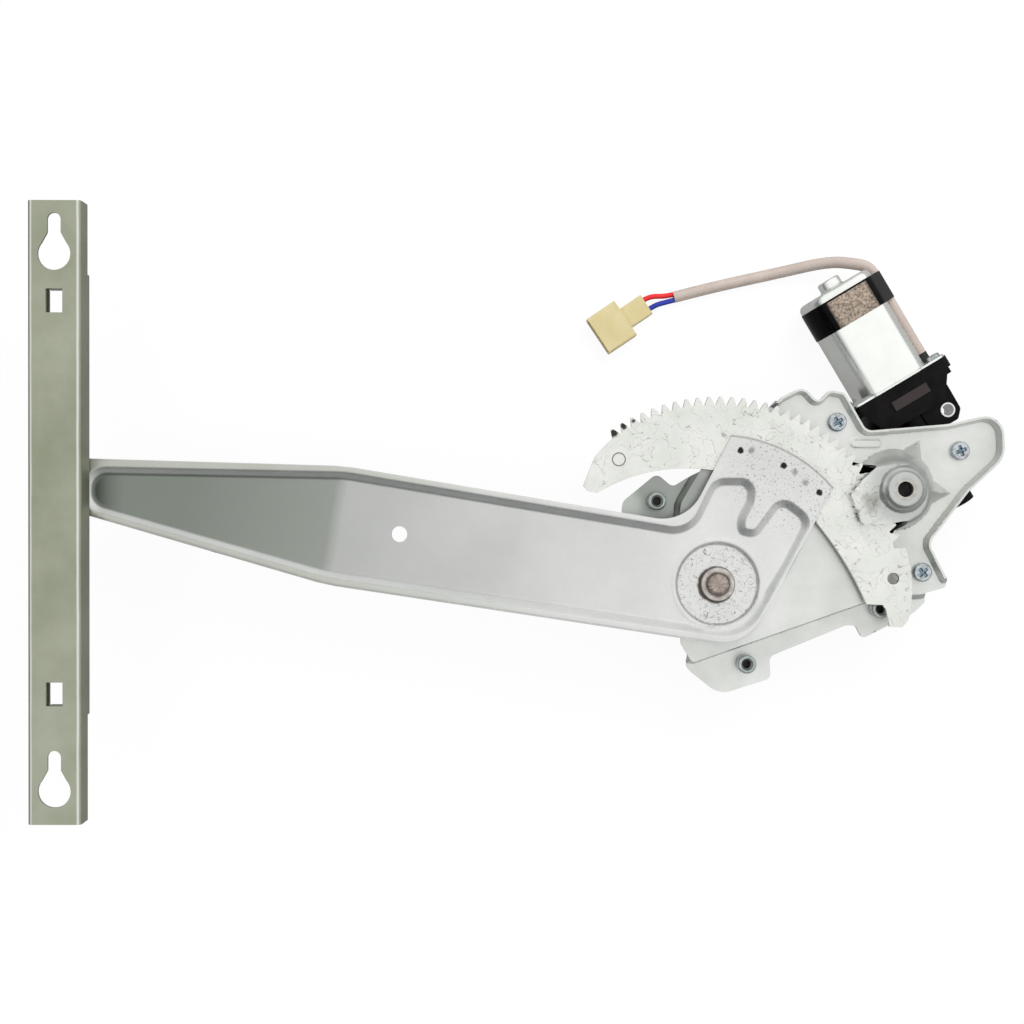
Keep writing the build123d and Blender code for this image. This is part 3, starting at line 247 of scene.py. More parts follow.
def rounded(corners, closed=True, step=12.0):
    """Outline through corners of (x, y, radius): each corner becomes a tangent arc in steps of degrees."""
    points = []
    count = len(corners)
    for index, (x, y, radius) in enumerate(corners):
        here = np.array((x, y), float)
        if radius <= 0 or (not closed and index in (0, count - 1)):
            points.append(here)
            continue
        back = np.array(corners[index - 1][:2]) - here
        ahead = np.array(corners[(index + 1) % count][:2]) - here
        back_length, ahead_length = np.linalg.norm(back), np.linalg.norm(ahead)
        back, ahead = back / back_length, ahead / ahead_length
        half = np.arccos(np.clip(back @ ahead, -1, 1)) / 2
        reach = min(radius / tan(half), 0.49 * back_length, 0.49 * ahead_length)
        radius = reach * tan(half)
        bisector = (back + ahead) / np.linalg.norm(back + ahead)
        centre = here + bisector * radius / sin(half)
        start, end = here + back * reach - centre, here + ahead * reach - centre
        turn = atan2(start[0] * end[1] - start[1] * end[0], start @ end)
        angles = np.linspace(0, turn, max(2, int(abs(degrees(turn)) / step) + 2))
        points += [centre + np.array((start[0] * cos(a) - start[1] * sin(a),
                                      start[0] * sin(a) + start[1] * cos(a))) for a in angles]
    return np.array(points)


def spaced(loop, step):
    """The same closed outline with points added so that no side is longer than the step."""
    ahead = np.roll(loop, -1, axis=0)
    lengths = np.linalg.norm(ahead - loop, axis=1)
    counts = np.maximum(1, np.ceil(lengths / step)).astype(int)
    return np.concatenate([here + (there - here) * (np.arange(n) / n)[:, None]
                           for here, there, n in zip(loop, ahead, counts)])


def turn_in(count):
    """Even angles of one turn."""
    return np.arange(count) * 2 * pi / count


def circle(x, y, radius, count=40):
    """Points at even angles about a place, at one radius or at one for each point."""
    angles = turn_in(count)
    return np.stack((x + radius * np.cos(angles), y + radius * np.sin(angles)), axis=1)


def rings(places, radii, count):
    """Points of circles of several radii about each place."""
    return np.concatenate([circle(x, y, radius, count) for x, y in places for radius in radii])


def fine_ring(x, y, inner, outer, step):
    """Square grid of points between two circles, for folds that need a finer mesh than the sheet."""
    across, up = np.meshgrid(np.arange(-outer, outer, step), np.arange(-outer, outer, step))
    grid = np.stack((across.ravel(), up.ravel()), axis=1)
    away = np.hypot(grid[:, 0], grid[:, 1])
    return grid[(away > inner) & (away < outer)] + (x, y)


def depth_inside(points, loop):
    """Distance of points from a closed outline, positive inside and negative outside."""
    ahead = np.roll(loop, -1, axis=0)
    side = ahead - loop
    result = np.empty(len(points))
    chunk = 4000
    for first in range(0, len(points), chunk):
        part = points[first:first + chunk, None, :]
        along = np.clip(((part - loop) * side).sum(2) / np.maximum((side ** 2).sum(1), 1e-12), 0, 1)
        distance = np.linalg.norm(part - loop - along[..., None] * side, axis=2).min(1)
        crosses = (loop[:, 1] > part[..., 1]) != (ahead[:, 1] > part[..., 1])
        rise = np.where(side[:, 1] == 0, 1e-12, side[:, 1])
        meets = part[..., 0] < loop[:, 0] + side[:, 0] * (part[..., 1] - loop[:, 1]) / rise
        result[first:first + chunk] = distance * np.where((crosses & meets).sum(1) % 2 == 1, 1, -1)
    return result


def soft(value):
    """Smooth step from 0 to 1."""
    value = np.clip(value, 0, 1)
    return value * value * (3 - 2 * value)


def dent(p, x, y, radius):
    """Smooth bump of height 1 over a point, down to about a third at its radius."""
    return np.exp(-(((p[:, 0] - x) ** 2 + (p[:, 1] - y) ** 2) / radius ** 2))


def beside(loop, depths, step):
    """Rows of points at depths inside an outline, negative outside, less those a corner brings nearer."""
    loop = spaced(loop, step)
    ahead = np.roll(loop, -1, axis=0) - np.roll(loop, 1, axis=0)
    area = (loop[:, 0] * np.roll(loop[:, 1], -1) - loop[:, 1] * np.roll(loop[:, 0], -1)).sum()
    inward = np.stack((-ahead[:, 1], ahead[:, 0]), axis=1) / np.linalg.norm(ahead, axis=1)[:, None]
    rows = np.concatenate([loop + inward * depth * np.sign(area) for depth in depths])
    wanted = np.repeat(np.abs(depths), len(loop))
    return rows[np.abs(depth_inside(rows, loop)) > wanted - 0.12]


def within_plan(points, keep, cut):
    """Whether each point is inside one of the keep outlines and outside all of the cut ones."""
    inside = np.max([depth_inside(points, loop) for loop in keep], axis=0) > 0
    for loop in cut:
        inside &= depth_inside(points, loop) < 0
    return inside


def pressed_sheet(name, keep, cut, rows, height, thickness, spacing):
    """Stamped sheet: the height over each point of a flat triangulation, with its thickness below.

    The plan is the union of the keep outlines less the cut ones. Its points are the outlines, the
    rows beside each bend and a grid, and height gives the top surface as a formula of x and y.
    """
    outlines = [spaced(loop, spacing * 0.6) for loop in keep + cut]
    low = np.concatenate(keep).min(0)
    high = np.concatenate(keep).max(0)
    xs, ys = np.meshgrid(np.arange(low[0], high[0], spacing), np.arange(low[1], high[1], spacing))
    xs[::2] += spacing / 2
    points = np.concatenate(rows + [np.stack((xs.ravel(), ys.ravel()), axis=1)])
    to_edge = np.min([np.abs(depth_inside(points, loop)) for loop in keep + cut], axis=0)
    points = points[within_plan(points, keep, cut) & (to_edge > EDGE_CLEARANCE)]
    cells = np.round(points / POINT_CELL).astype(int)
    _, first = np.unique(cells, axis=0, return_index=True)
    points = points[np.sort(first)]
    edges, start = [], 0
    for loop in outlines:
        count = len(loop)
        edges += [(start + i, start + (i + 1) % count) for i in range(count)]
        start += count
    everything = np.concatenate(outlines + [points])
    flat, _, triangles, *_ = delaunay_2d_cdt([Vector(p) for p in everything.tolist()], edges, [], 0, 1e-5,
                                             False)
    flat = np.array([(p.x, p.y) for p in flat])
    triangles = np.array([t[:3] for t in triangles])
    triangles = triangles[within_plan(flat[triangles].mean(1), keep, cut)]
    used, packed = np.unique(triangles, return_inverse=True)
    flat, triangles = flat[used], packed.reshape(-1, 3)
    a, b, c = flat[triangles[:, 0]], flat[triangles[:, 1]], flat[triangles[:, 2]]
    turned = (b - a)[:, 0] * (c - a)[:, 1] - (b - a)[:, 1] * (c - a)[:, 0] < 0
    triangles[turned] = triangles[turned][:, ::-1]
    top = np.column_stack((flat, height(flat))) * MM
    mesh = bpy.data.meshes.new(name)
    mesh.from_pydata((top + PIVOT * (MM, MM, 0)).tolist(), [], triangles.tolist())
    mesh.shade_smooth()
    piece = linked(name, mesh)
    wall = piece.modifiers.new("sheet_thickness", "SOLIDIFY")
    wall.thickness = thickness * MM
    wall.offset = -1
    round_edges(piece, "sheared_edge", 0.3, 50)
    return piece


def round_edges(piece, name, width, angle):
    """Bevel of a width in mm on the edges that are sharper than an angle in degrees."""
    edge = piece.modifiers.new(name, "BEVEL")
    edge.width = width * MM
    edge.segments = 2
    edge.angle_limit = radians(angle)
    edge.harden_normals = True


def mixed(tree, mask, before, after):
    """Colour that goes from one to another where the mask is 1."""
    return add(tree, "ShaderNodeMix", {0: mask, 6: before, 7: after}, data_type="RGBA").outputs[2]


def noise(tree, place, size, output="Fac", **inputs):
    """Noise whose cells are of a size in mm."""
    return add(tree, "ShaderNodeTexNoise", {"Vector": place, "Scale": 1000 / size, **inputs}).outputs[output]


def at(x, y, z=0.0):
    """Place counted from the pivot, in mm in the part's frame."""
    return np.array((PIVOT[0] + x, PIVOT[1] + y, z))


def object_place(tree):
    """Object coordinates, in metres."""
    return add(tree, "ShaderNodeTexCoord").outputs["Object"]


def grained(name, grain, detail, sheen, bump):
    """New material with a fine grain that sways its roughness between two values and gives it relief."""
    material = bpy.data.materials.new(name)
    material.use_nodes = True
    tree = material.node_tree
    shader = tree.nodes["Principled BSDF"]
    grains = noise(tree, object_place(tree), grain, Detail=detail)
    tree.links.new(ranged(tree, grains, 0.3, 0.7, *sheen), shader.inputs["Roughness"])
    relief = add(tree, "ShaderNodeBump", {"Height": grains, "Strength": 0.6, "Distance": bump * MM})
    tree.links.new(relief.outputs[0], shader.inputs["Normal"])
    return material, tree, shader, grains


def zinc(name, bright, dull, patch=45.0, grain=1.2, rough=0.42, bump=0.005):
    """Zinc-plated sheet: electroplated, so a metal of a pale grey with cloudy patches and fine grain.

    Patch and grain are the sizes of the clouds and of the grain in mm, and bump is the grain's height.
    """
    material, tree, shader, grains = grained(name, grain, 3.0, (rough - 0.04, rough + 0.05), bump)
    clouds = ranged(tree, noise(tree, object_place(tree), patch, Detail=5.0, Roughness=0.6), 0.32, 0.68)
    tone = mixed(tree, clouds, linear(dull), linear(bright))
    speck = ranged(tree, grains, 0.3, 0.7, 0.955, 1.015)
    colour = add(tree, "ShaderNodeVectorMath", {0: tone, "Scale": speck}, operation="SCALE")
    tree.links.new(colour.outputs[0], shader.inputs["Base Color"])
    shader.inputs["Metallic"].default_value = 0.85
    return material


def stain(material, mask, code, rough=None):
    """Lay another colour over a material where the mask is 1."""
    tree = material.node_tree
    shader = tree.nodes["Principled BSDF"]
    before = shader.inputs["Base Color"].links[0].from_socket
    tree.links.new(mixed(tree, mask, before, linear(code)), shader.inputs["Base Color"])
    if rough is not None:
        sheen = shader.inputs["Roughness"].links[0].from_socket
        over = add(tree, "ShaderNodeMix", {0: mask, 2: sheen, 3: rough})
        tree.links.new(over.outputs[0], shader.inputs["Roughness"])


def warped(tree, size, reach):
    """Object coordinates pushed about by noise, for marks with uneven edges; size and reach in mm."""
    place = object_place(tree)
    push = add(tree, "ShaderNodeVectorMath", {0: noise(tree, place, size, "Color", Detail=2.0),
                                              1: (-0.5, -0.5, -0.5)}, operation="ADD")
    push = add(tree, "ShaderNodeVectorMath", {0: push.outputs[0], "Scale": 2 * reach * MM}, operation="SCALE")
    return add(tree, "ShaderNodeVectorMath", {0: place, 1: push.outputs[0]}, operation="ADD").outputs[0]


def spot(tree, place, x, y, z, radius, edge=0.5, strength=1.0):
    """Mask of a round mark at a point counted from the pivot, in mm, fading over its edge."""
    away = add(tree, "ShaderNodeVectorMath", {0: place, 1: tuple(MM * at(x, y, z))}, operation="DISTANCE")
    return ranged(tree, away.outputs["Value"], (radius + edge) * MM, (radius - edge) * MM, 0.0, strength,
                  interpolation_type="SMOOTHSTEP")


def stain_near(material, mask, place, where, code, rough=None):
    """Stain by a mask only inside a round mark, given as (x, y, z, radius, edge, strength)."""
    tree = material.node_tree
    stain(material, maths(tree, "MULTIPLY", mask, spot(tree, place, *where)), code, rough)


def mark(material, uneven, x, y, z, radius, edge, strength, code, rough=None):
    """Stain with a round mark, made uneven by noise of a size and reach in mm."""
    tree = material.node_tree
    stain(material, spot(tree, warped(tree, *uneven), x, y, z, radius, edge, strength), code, rough)


def wrinkles(tree, place, size, width, strength):
    """Mask of thin wandering lines, where noise of a size in mm passes through its middle value."""
    waves = noise(tree, place, size, Detail=1.5, Roughness=0.5, Distortion=1.4)
    off = maths(tree, "ABSOLUTE", maths(tree, "SUBTRACT", waves, 0.5))
    return ranged(tree, off, width, 0.0, 0.0, strength, interpolation_type="SMOOTHSTEP")


def base_height(p):
    """Top of the base plate: feet, bracket, rim, raised centre, cup, gussets, slot's rib and dents."""
    raised = soft(1 + depth_inside(p, raised_loop) / RAISED_BEND)
    on_bracket = depth_inside(p, bracket_loop)
    bracket = soft(1 + on_bracket / BRACKET_BEND)
    z = FOOT_TOP + (BRACKET_TOP - FOOT_TOP) * np.maximum(bracket, raised)
    z = z + (BASE_TOP - BRACKET_TOP) * raised
    from_pivot = np.hypot(p[:, 0], p[:, 1])
    free_edge = soft((from_pivot - SECTOR_TIP_R) / RIM_FADE) * soft(p[:, 1] / RIM_FADE)
    z = z + RIM_HEIGHT * soft((RIM_START - on_bracket) / RIM_BEND) * free_edge * (on_bracket > -0.5)
    beyond = depth_inside(p, hood_loop)
    away = np.hypot(p[:, 0] - PINION[0], p[:, 1] - PINION[1])
    share = np.maximum(-beyond, 0) / np.maximum(np.maximum(-beyond, 0) + DOME_FOOT_R - away, 1e-6)
    dome = np.interp(share, DOME_SHARE, DOME_Z)
    past_sector = (from_pivot > SECTOR_TIP_R + SECTOR_CLEARANCE) & (away < DOME_FOOT_R)
    z = np.where(past_sector | (beyond > -0.01), np.maximum(z, dome), z)
    z = np.where(away < COLLAR_R[-1], np.maximum(z, np.interp(away, COLLAR_R, COLLAR_Z)), z)
    for angle, reach in GUSSETS:
        ux, uy = cos(radians(angle)), sin(radians(angle))
        along = (p[:, 0] - PINION[0]) * ux + (p[:, 1] - PINION[1]) * uy
        across = np.abs((p[:, 1] - PINION[1]) * ux - (p[:, 0] - PINION[0]) * uy)
        scale = np.clip(1 - along / reach, 1e-3, 1)
        fold = BRACKET_TOP + GUSSET_HEIGHT * scale * (1 - across / (GUSSET_HALF * scale))
        z = np.where((along > 0) & (along < reach), np.maximum(z, fold), z)
    rib_from, rib_to, rib_y, rib_r, rib_rise = SLOT_RIB
    rib = np.hypot(p[:, 0] - np.clip(p[:, 0], rib_from, rib_to), p[:, 1] - rib_y)
    z = z + rib_rise * soft(rib_r + 0.5 - rib)
    for x, y, radius, rise in HOOD_DENTS:
        z = z + rise * dent(p, x, y, radius) * soft(beyond / 1.5)
    return z


raised_loop = rounded(RAISED)
bracket_loop = rounded(BRACKET)
hood_loop = rounded(HOOD)
rib_x0, rib_x1, rib_y0, rib_radius, _ = SLOT_RIB
rib_loop = rounded([(rib_x0 - rib_radius, rib_y0 - rib_radius, rib_radius),
                    (rib_x1 + rib_radius, rib_y0 - rib_radius, rib_radius),
                    (rib_x1 + rib_radius, rib_y0 + rib_radius, rib_radius),
                    (rib_x0 - rib_radius, rib_y0 + rib_radius, rib_radius)])
base_keep = [rounded(LOWER_FEET), rounded(UPPER_FOOT), raised_loop, bracket_loop, rounded(BRIDGE)]
base_cut = [rounded(SLOT_ROUND_HOOD), circle(0, 0, RIVET_SHANK_R), circle(PINION[0], PINION[1], BUSH_R)]
base_cut += [circle(x, y, NUT_HOLE_R, 24) for x, y in NUTS]
base_cut += [circle(x, y, MOTOR_SCREW_HOLE_R, 20) for x, y in MOTOR_SCREWS]
gusset_lines = []
for tip_angle, tip_reach in GUSSETS:
    ridge = np.array((cos(radians(tip_angle)), sin(radians(tip_angle))))
    flank = np.array((-ridge[1], ridge[0])) * GUSSET_HALF
    steps = np.linspace(0.0, 1, 26)[:, None]
    tip = PINION[:2] + ridge * tip_reach
    gusset_lines += [PINION[:2] + ridge * tip_reach * steps,
                     PINION[:2] + flank + (tip - PINION[:2] - flank) * steps,
                     PINION[:2] - flank + (tip - PINION[:2] + flank) * steps]
base_rows = [
    beside(raised_loop, [-2.6, -1.9, -1.3, -0.7, 0.0, 0.7], 1.6),
    beside(bracket_loop, [-4.0, -3.0, -2.0, -1.0, 0.7, 1.3, 1.9, 2.5, 3.1, 3.8], 1.6),
    beside(hood_loop, [-1.6, -0.8, 0.0, 0.5, 1.4], 1.2),
    rings([PINION[:2]], CUP_RINGS, 72),
    np.concatenate(gusset_lines),
    beside(rib_loop, [-0.6, 0.0, 0.6], 1.0),
    fine_ring(PINION[0], PINION[1], 13.0, 35.0, 1.1),
    np.concatenate([circle(x, y, r * k, 14) for x, y, r, _ in HOOD_DENTS for k in (0.1, 0.5, 0.9, 1.4)]),
]
base_plate = pressed_sheet("base_plate_stamping", base_keep, base_cut, base_rows, base_height, SHEET, 2.4)
plate_zinc = zinc("zinc_plated_steel_pressed", "e6e6e3", "d0d2cd", patch=35.0, grain=1.0, rough=0.34)
plate_tree = plate_zinc.node_tree
# Painted shade: the upper foot, low beside the raised centre, is darkened to a grey-green.
mark(plate_zinc, (12.0, 3.0), -26.0, 54.0, 2.0, 26.0, 10.0, 0.6, "5d685f")
# Painted shade: the cup's walls round the pinion are greyed.
mark(plate_zinc, (9.0, 2.0), PINION[0], PINION[1], 14.0, 22.0, 5.0, 0.6, "a5a8a4")
roof_place = warped(plate_tree, 5.0, 1.5)
stain_near(plate_zinc, wrinkles(plate_tree, roof_place, 7.0, 0.02, 0.7), roof_place,
           (86.5, 47.0, 23.0, 12.0, 3.0, 0.9), "6a5f52", 0.3)
mark(plate_zinc, (5.0, 2.5), 88.5, 48.0, 22.5, 4.5, 3.5, 0.5, "857e74")
mark(plate_zinc, (10.0, 2.0), -52.0, 45.0, 2.0, 9.0, 4.0, 0.6, "c3c8c1")
base_plate.data.materials.append(plate_zinc)
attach(base_plate, "root")
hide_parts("base_plate")

# Weld nuts. Three round M6 weld nuts, turned and zinc plated, each with a pilot in its foot and a
# chamfered mouth; the thread shows as dark rings down the bore.
NUT_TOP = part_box("door_weld_nuts")[1].z / MM
NUT_R, PILOT_R = 5.5, 3.85
THREAD_ROOT_R, THREAD_CREST_R = 3.0, 2.55
THREAD_PITCH = 1.0


def solid(name, points, faces, sharp=35.0):
    """Closed mesh from arrays in mm in the part's frame: doubles merged, faces outwards, edges kept."""
    mesh = bpy.data.meshes.new(name)
    mesh.from_pydata((np.asarray(points) * MM).tolist(), [], [list(map(int, f)) for f in faces])
    work = bmesh.new()
    work.from_mesh(mesh)
    bmesh.ops.remove_doubles(work, verts=work.verts, dist=1e-6)
    bmesh.ops.dissolve_degenerate(work, edges=work.edges, dist=1e-7)
    bmesh.ops.recalc_face_normals(work, faces=work.faces)
    work.to_mesh(mesh)
    work.free()
    mesh.shade_smooth()
    mesh.set_sharp_from_angle(angle=radians(sharp))
    return linked(name, mesh)


def grid_faces(rows, columns, wrap_rows=False):
    """Quads of closed rows of points stored one after another."""
    r = np.arange(rows if wrap_rows else rows - 1)[:, None]
    c = np.arange(columns)[None, :]
    r1, c1 = (r + 1) % rows, (c + 1) % columns
    quads = [r * columns + c, r * columns + c1, r1 * columns + c1, r1 * columns + c]
    return np.stack([np.broadcast_to(q, (r.size, c.size)) for q in quads], axis=-1).reshape(-1, 4)


def level_row(outline, level):
    """Plane outline as a row of points with the level as their third coordinate."""
    return np.column_stack((outline, np.full(len(outline), level)))


def turned_points(profile, centre, closed, count=64):
    """A profile of (radius, height, corner radius) turned about +Z at a centre."""
    outline = rounded(profile, closed, 20.0)
    points = [level_row(circle(0, 0, radius, count), z) for radius, z in outline]
    return np.concatenate(points) + centre, grid_faces(len(outline), count, wrap_rows=closed)


def joined(shells):
    """Points and faces of several shells as one mesh."""
    points, faces, start = [], [], 0
    for shell_points, shell_faces in shells:
        points.append(shell_points)
        faces += [[int(i) + start for i in face] for face in shell_faces]
        start += len(shell_points)
    return np.concatenate(points), faces


def nut_profile():
    """Half section of a weld nut: pilot, flange, body with rounded top edge, threaded bore and a plug low in
    the bore, a dark fill that stands for the bore's shade.
    """
    thread = []
    for turn in range(8):
        z = NUT_TOP - 1.2 - turn * THREAD_PITCH
        thread += [(THREAD_ROOT_R, z, 0), (THREAD_CREST_R, z - THREAD_PITCH / 2, 0)]
    outside = [(0.0, 0.6, 0), (2.6, 0.3, 0), (2.7, 0.0, 0), (PILOT_R, 0.0, 0), (PILOT_R, FOOT_TOP + 0.02, 0),
               (NUT_R, FOOT_TOP + 0.02, 0.3), (NUT_R, NUT_TOP - 0.5, 0.8), (NUT_R - 1.2, NUT_TOP, 0.5),
               (3.7, NUT_TOP, 0.2)]
    return outside + thread + [(2.5, 1.4, 0), (0.0, 1.1, 0)]


nuts = solid("door_weld_nuts_turned", *joined([turned_points(nut_profile(), at(x, y), False, 48)
                                               for x, y in NUTS]), sharp=50)
nut_zinc = zinc("zinc_plated_steel_turned", "c9cecb", "8f9794", patch=6.0, grain=0.5, rough=0.26, bump=0.02)
# Painted shade: dark brown down each bore, over its plug and round the nut's foot.
for nut_x, nut_y in NUTS:
    mark(nut_zinc, (3.0, 1.0), nut_x, nut_y, 2.0, 5.2, 1.2, 0.85, "3a2f2a", 0.6)
nuts.data.materials.append(nut_zinc)
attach(nuts, "root")
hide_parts("door_weld_nuts")

# Pivot. A shouldered rivet of turned steel holds the arm's hub on the raised centre, with a washer below
# the hub and a retainer ring above it. The head is peened over the ring and dark with old grease.
RIVET_PROFILE = [
    (0, 8.0, 0), (14.0, 8.0, 0.3), (14.0, 10.0, 0.3), (7.85, 10.0, 0), (7.85, 17.6, 0), (5.3, 17.6, 0),
    (5.3, 18.8, 0), (6.3, 18.8, 0.2), (6.1, 19.9, 0.7), (4.4, 20.9, 0.8), (0, 21.2, 0),
]
RETAINER_PROFILE = [(5.3, 17.6, 0), (9.8, 17.6, 0.2), (9.8, 18.8, 0.5), (5.32, 18.8, 0)]


def finish_node(node, material):
    """Put a material on a CAD solid that stays as it is."""
    for place in frame["nodes"][node].material_slots:
        place.material = material


def spoke_marks(material, count, depth, code, strength):
    """Radial tool marks about the pivot: darker spokes from noise along the angle, and a bump."""
    tree = material.node_tree
    normal = tree.nodes["Principled BSDF"].inputs["Normal"]
    from_pivot = add(tree, "ShaderNodeVectorMath", {0: object_place(tree), 1: tuple(MM * at(0, 0))},
                     operation="SUBTRACT")
    axes = axes_of(tree, from_pivot.outputs[0])
    spokes = add(tree, "ShaderNodeTexNoise", {"W": maths(tree, "ARCTAN2", axes["Y"], axes["X"]),
                                              "Scale": count / (2 * pi), "Detail": 3.0},
                 noise_dimensions="1D").outputs["Fac"]
    stain(material, ranged(tree, spokes, 0.45, 0.65, 0.0, strength), code)
    relief = add(tree, "ShaderNodeBump", {"Height": spokes, "Strength": 0.7, "Distance": depth * MM,
                                          "Normal": normal.links[0].from_socket})
    tree.links.new(relief.outputs[0], normal)


rivet = solid("pivot_rivet_turned", *turned_points(RIVET_PROFILE, at(0, 0), False), sharp=50)
rivet_steel = zinc("turned_steel_greased", "c6bab2", "a4968c", patch=4.0, grain=0.6, rough=0.33, bump=0.03)
spoke_marks(rivet_steel, 46, 0.25, "4b3a2e", 0.75)
rivet.data.materials.append(rivet_steel)
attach(rivet, "root")
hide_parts("pivot_rivet")

retainer = solid("pivot_retainer_ring", *turned_points(RETAINER_PROFILE, at(0, 0), True), sharp=50)
ring_zinc = zinc("zinc_plated_steel_ring", "d3cfca", "a39c94", patch=5.0, grain=0.7, rough=0.28, bump=0.02)
mark(ring_zinc, (4.0, 0.8), 0, 0, 18.8, 7.4, 0.9, 0.8, "3d2c22", 0.5)
retainer.data.materials.append(ring_zinc)
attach(retainer, "root")
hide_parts("pivot_retainer")
finish_node("pivot_washer", ring_zinc)

# Lift arm. A 2.5 mm pressing of zinc-plated steel: a tray whose rim stands 4.5 mm above its web, with a
# tongue of the rim left between two lobes and a shallow hub round the pivot.
ARM_SHEET = 2.5
WEB_TOP, RIM_TOP = 17.0, 21.5
ARM_EDGE = [
    (-19.2, 35.8, 25), (-219.1, 68.8, 80), (-399.0, 73.6, 14), (-399.0, 48.5, 12),
    (-229.5, -0.6, 80), (16.6, -37.2, 25),
]
ARM_TRAY = [
    (0.0, 57.2, 6), (-14.8, 26.6, 20), (-219.1, 60.2, 60), (-365.0, 62.8, 7.5), (-365.0, 47.3, 7.5),
    (-228.4, 8.6, 60), (13.0, -27.0, 20), (37.5, 12.8, 40), (49.5, 36.6, 5), (37.3, 46.0, 4),
    (23.0, 26.4, 8), (10.8, 28.4, 8), (10.2, 38.5, 12), (15.9, 49.5, 8), (16.4, 57.2, 6),
]
BOOT_R, BOOT_LEFT, BOOT_RIGHT = 88.5, 84.9, 40.5
TRAY_SLOPE = 6.0
SLOPE_SHARE = [0.0, 0.1, 0.2, 0.8, 0.9, 1.0]
SLOPE_RISE = [0.0, 0.03, 0.13, 0.87, 0.97, 1.0]
HUB_R, HUB_TOP = 23.0, 15.0
COLLAR_TOP, HUB_COLLAR_R = 17.5, 10.4
EDGE_DROP, EDGE_EASE = 0.55, 1.6
BEAD_R, BEAD_WIDTH, BEAD_RISE = 26.0, 1.2, 0.7
ARM_HOLE, ARM_HOLE_R = (-187.0, 28.9), 4.7
STUD = (-381.8, 60.7)
STUD_SHANK_R = 4.0
HUB_RINGS = [8.6, 9.8, 10.3, 10.8, 11.4, 20.0, 22.6, 23.2, 23.8, 24.4, 25.0, 25.6, 26.2, 26.9, 27.8]
WELDS = [(12.5, 78.4), (37.6, 69.6), (58.6, 53.9)]
WELD_R, WELD_DEPTH = 1.6, 0.5
SMUDGES = [(18.9, 78.4), (50.4, 59.7), (44.0, 66.0)]
SPECKLE_SIZE = 1 / 0.9


def arm_height(p):
    """Web, plus the rim where the distance outside the tray's foot line grows, less the hub's recess."""
    z = WEB_TOP + (RIM_TOP - WEB_TOP) * np.interp(-depth_inside(p, tray_loop) / TRAY_SLOPE, SLOPE_SHARE,
                                                  SLOPE_RISE)
    z = z - EDGE_DROP * (1 - soft(depth_inside(p, arm_loop) / EDGE_EASE))
    r = np.hypot(p[:, 0], p[:, 1])
    z = HUB_TOP + (z - HUB_TOP) * soft((r - HUB_R) / 1.6)
    z = z + BEAD_RISE * np.exp(-((r - BEAD_R) / BEAD_WIDTH) ** 2)
    z = np.maximum(z, HUB_TOP + (COLLAR_TOP - HUB_TOP) * soft((HUB_COLLAR_R + 0.5 - r) / 0.9))
    for x, y in WELDS:
        z = z - WELD_DEPTH * dent(p, x, y, WELD_R)
    return z


boot_angles = np.radians(np.linspace(BOOT_RIGHT, BOOT_LEFT, 16))
boot_arc = [(BOOT_R * cos(a), BOOT_R * sin(a), 1.5 if a in boot_angles[[0, -1]] else 0) for a in boot_angles]
arm_loop = rounded(boot_arc + ARM_EDGE, step=8.0)
tray_loop = rounded(ARM_TRAY, step=8.0)
arm_rows = [
    beside(tray_loop, [-6.6, -6.0, -5.4, -4.8, -3.0, -1.2, -0.6, 0.0, 0.6], 1.9),
    beside(arm_loop, [0.4, 0.9, 1.5, 2.0], 2.4),
    rings([(0, 0)], HUB_RINGS, 72),
    rings(WELDS, (0.8, 1.6, 2.6), 20),
]
lift_arm = pressed_sheet("lift_arm_pressing", [arm_loop], [
    circle(0, 0, RIVET_SHANK_R, 56), circle(*ARM_HOLE, ARM_HOLE_R), circle(*STUD, STUD_SHANK_R, 24)],
    arm_rows, arm_height, ARM_SHEET, 4.0)
arm_zinc = zinc("zinc_plated_steel_arm", "e4e4e2", "d6d6d4", patch=60.0, grain=1.3, rough=0.34)
arm_tree = arm_zinc.node_tree
arm_level = axes_of(arm_tree, object_place(arm_tree))["Z"]
on_web = ranged(arm_tree, arm_level, 18.7 * MM, 17.3 * MM)
on_rim = ranged(arm_tree, arm_level, 20.3 * MM, 21.2 * MM)
arm_axes = axes_of(arm_tree, warped(arm_tree, 12.0, 0.9))
slant = maths(arm_tree, "MULTIPLY_ADD", arm_axes["Y"], -0.174, arm_axes["X"])
# Painted shade: the web and rim darken and turn grey-green towards the rail, stepping across a slanted line,
# darkest at the narrow end.
for source, from_x, to_x, within, strength, code in (
        (arm_axes["X"], -40.0, -255.0, on_web, 0.75, "a1a2a0"),
        (arm_axes["X"], -60.0, -260.0, on_rim, 0.55, "9a9d8d"),
        (slant, -254.5, -262.0, on_web, 0.6, "7d8479"),
        (slant, -262.0, -350.0, on_web, 0.6, "6f776d"),
        (arm_axes["X"], -368.0, -386.0, on_web, 0.7, "4c544e")):
    shade_towards_rail = ranged(arm_tree, source, from_x * MM, to_x * MM, 0.0, strength)
    stain(arm_zinc, maths(arm_tree, "MULTIPLY", shade_towards_rail, within), code)


def ring_mark(tree, place, x, y, z, outer, inner):
    """Mask of a thin ring: the spot of one radius and edge less that of a smaller one."""
    return maths(tree, "SUBTRACT", spot(tree, place, x, y, z, *outer), spot(tree, place, x, y, z, *inner))


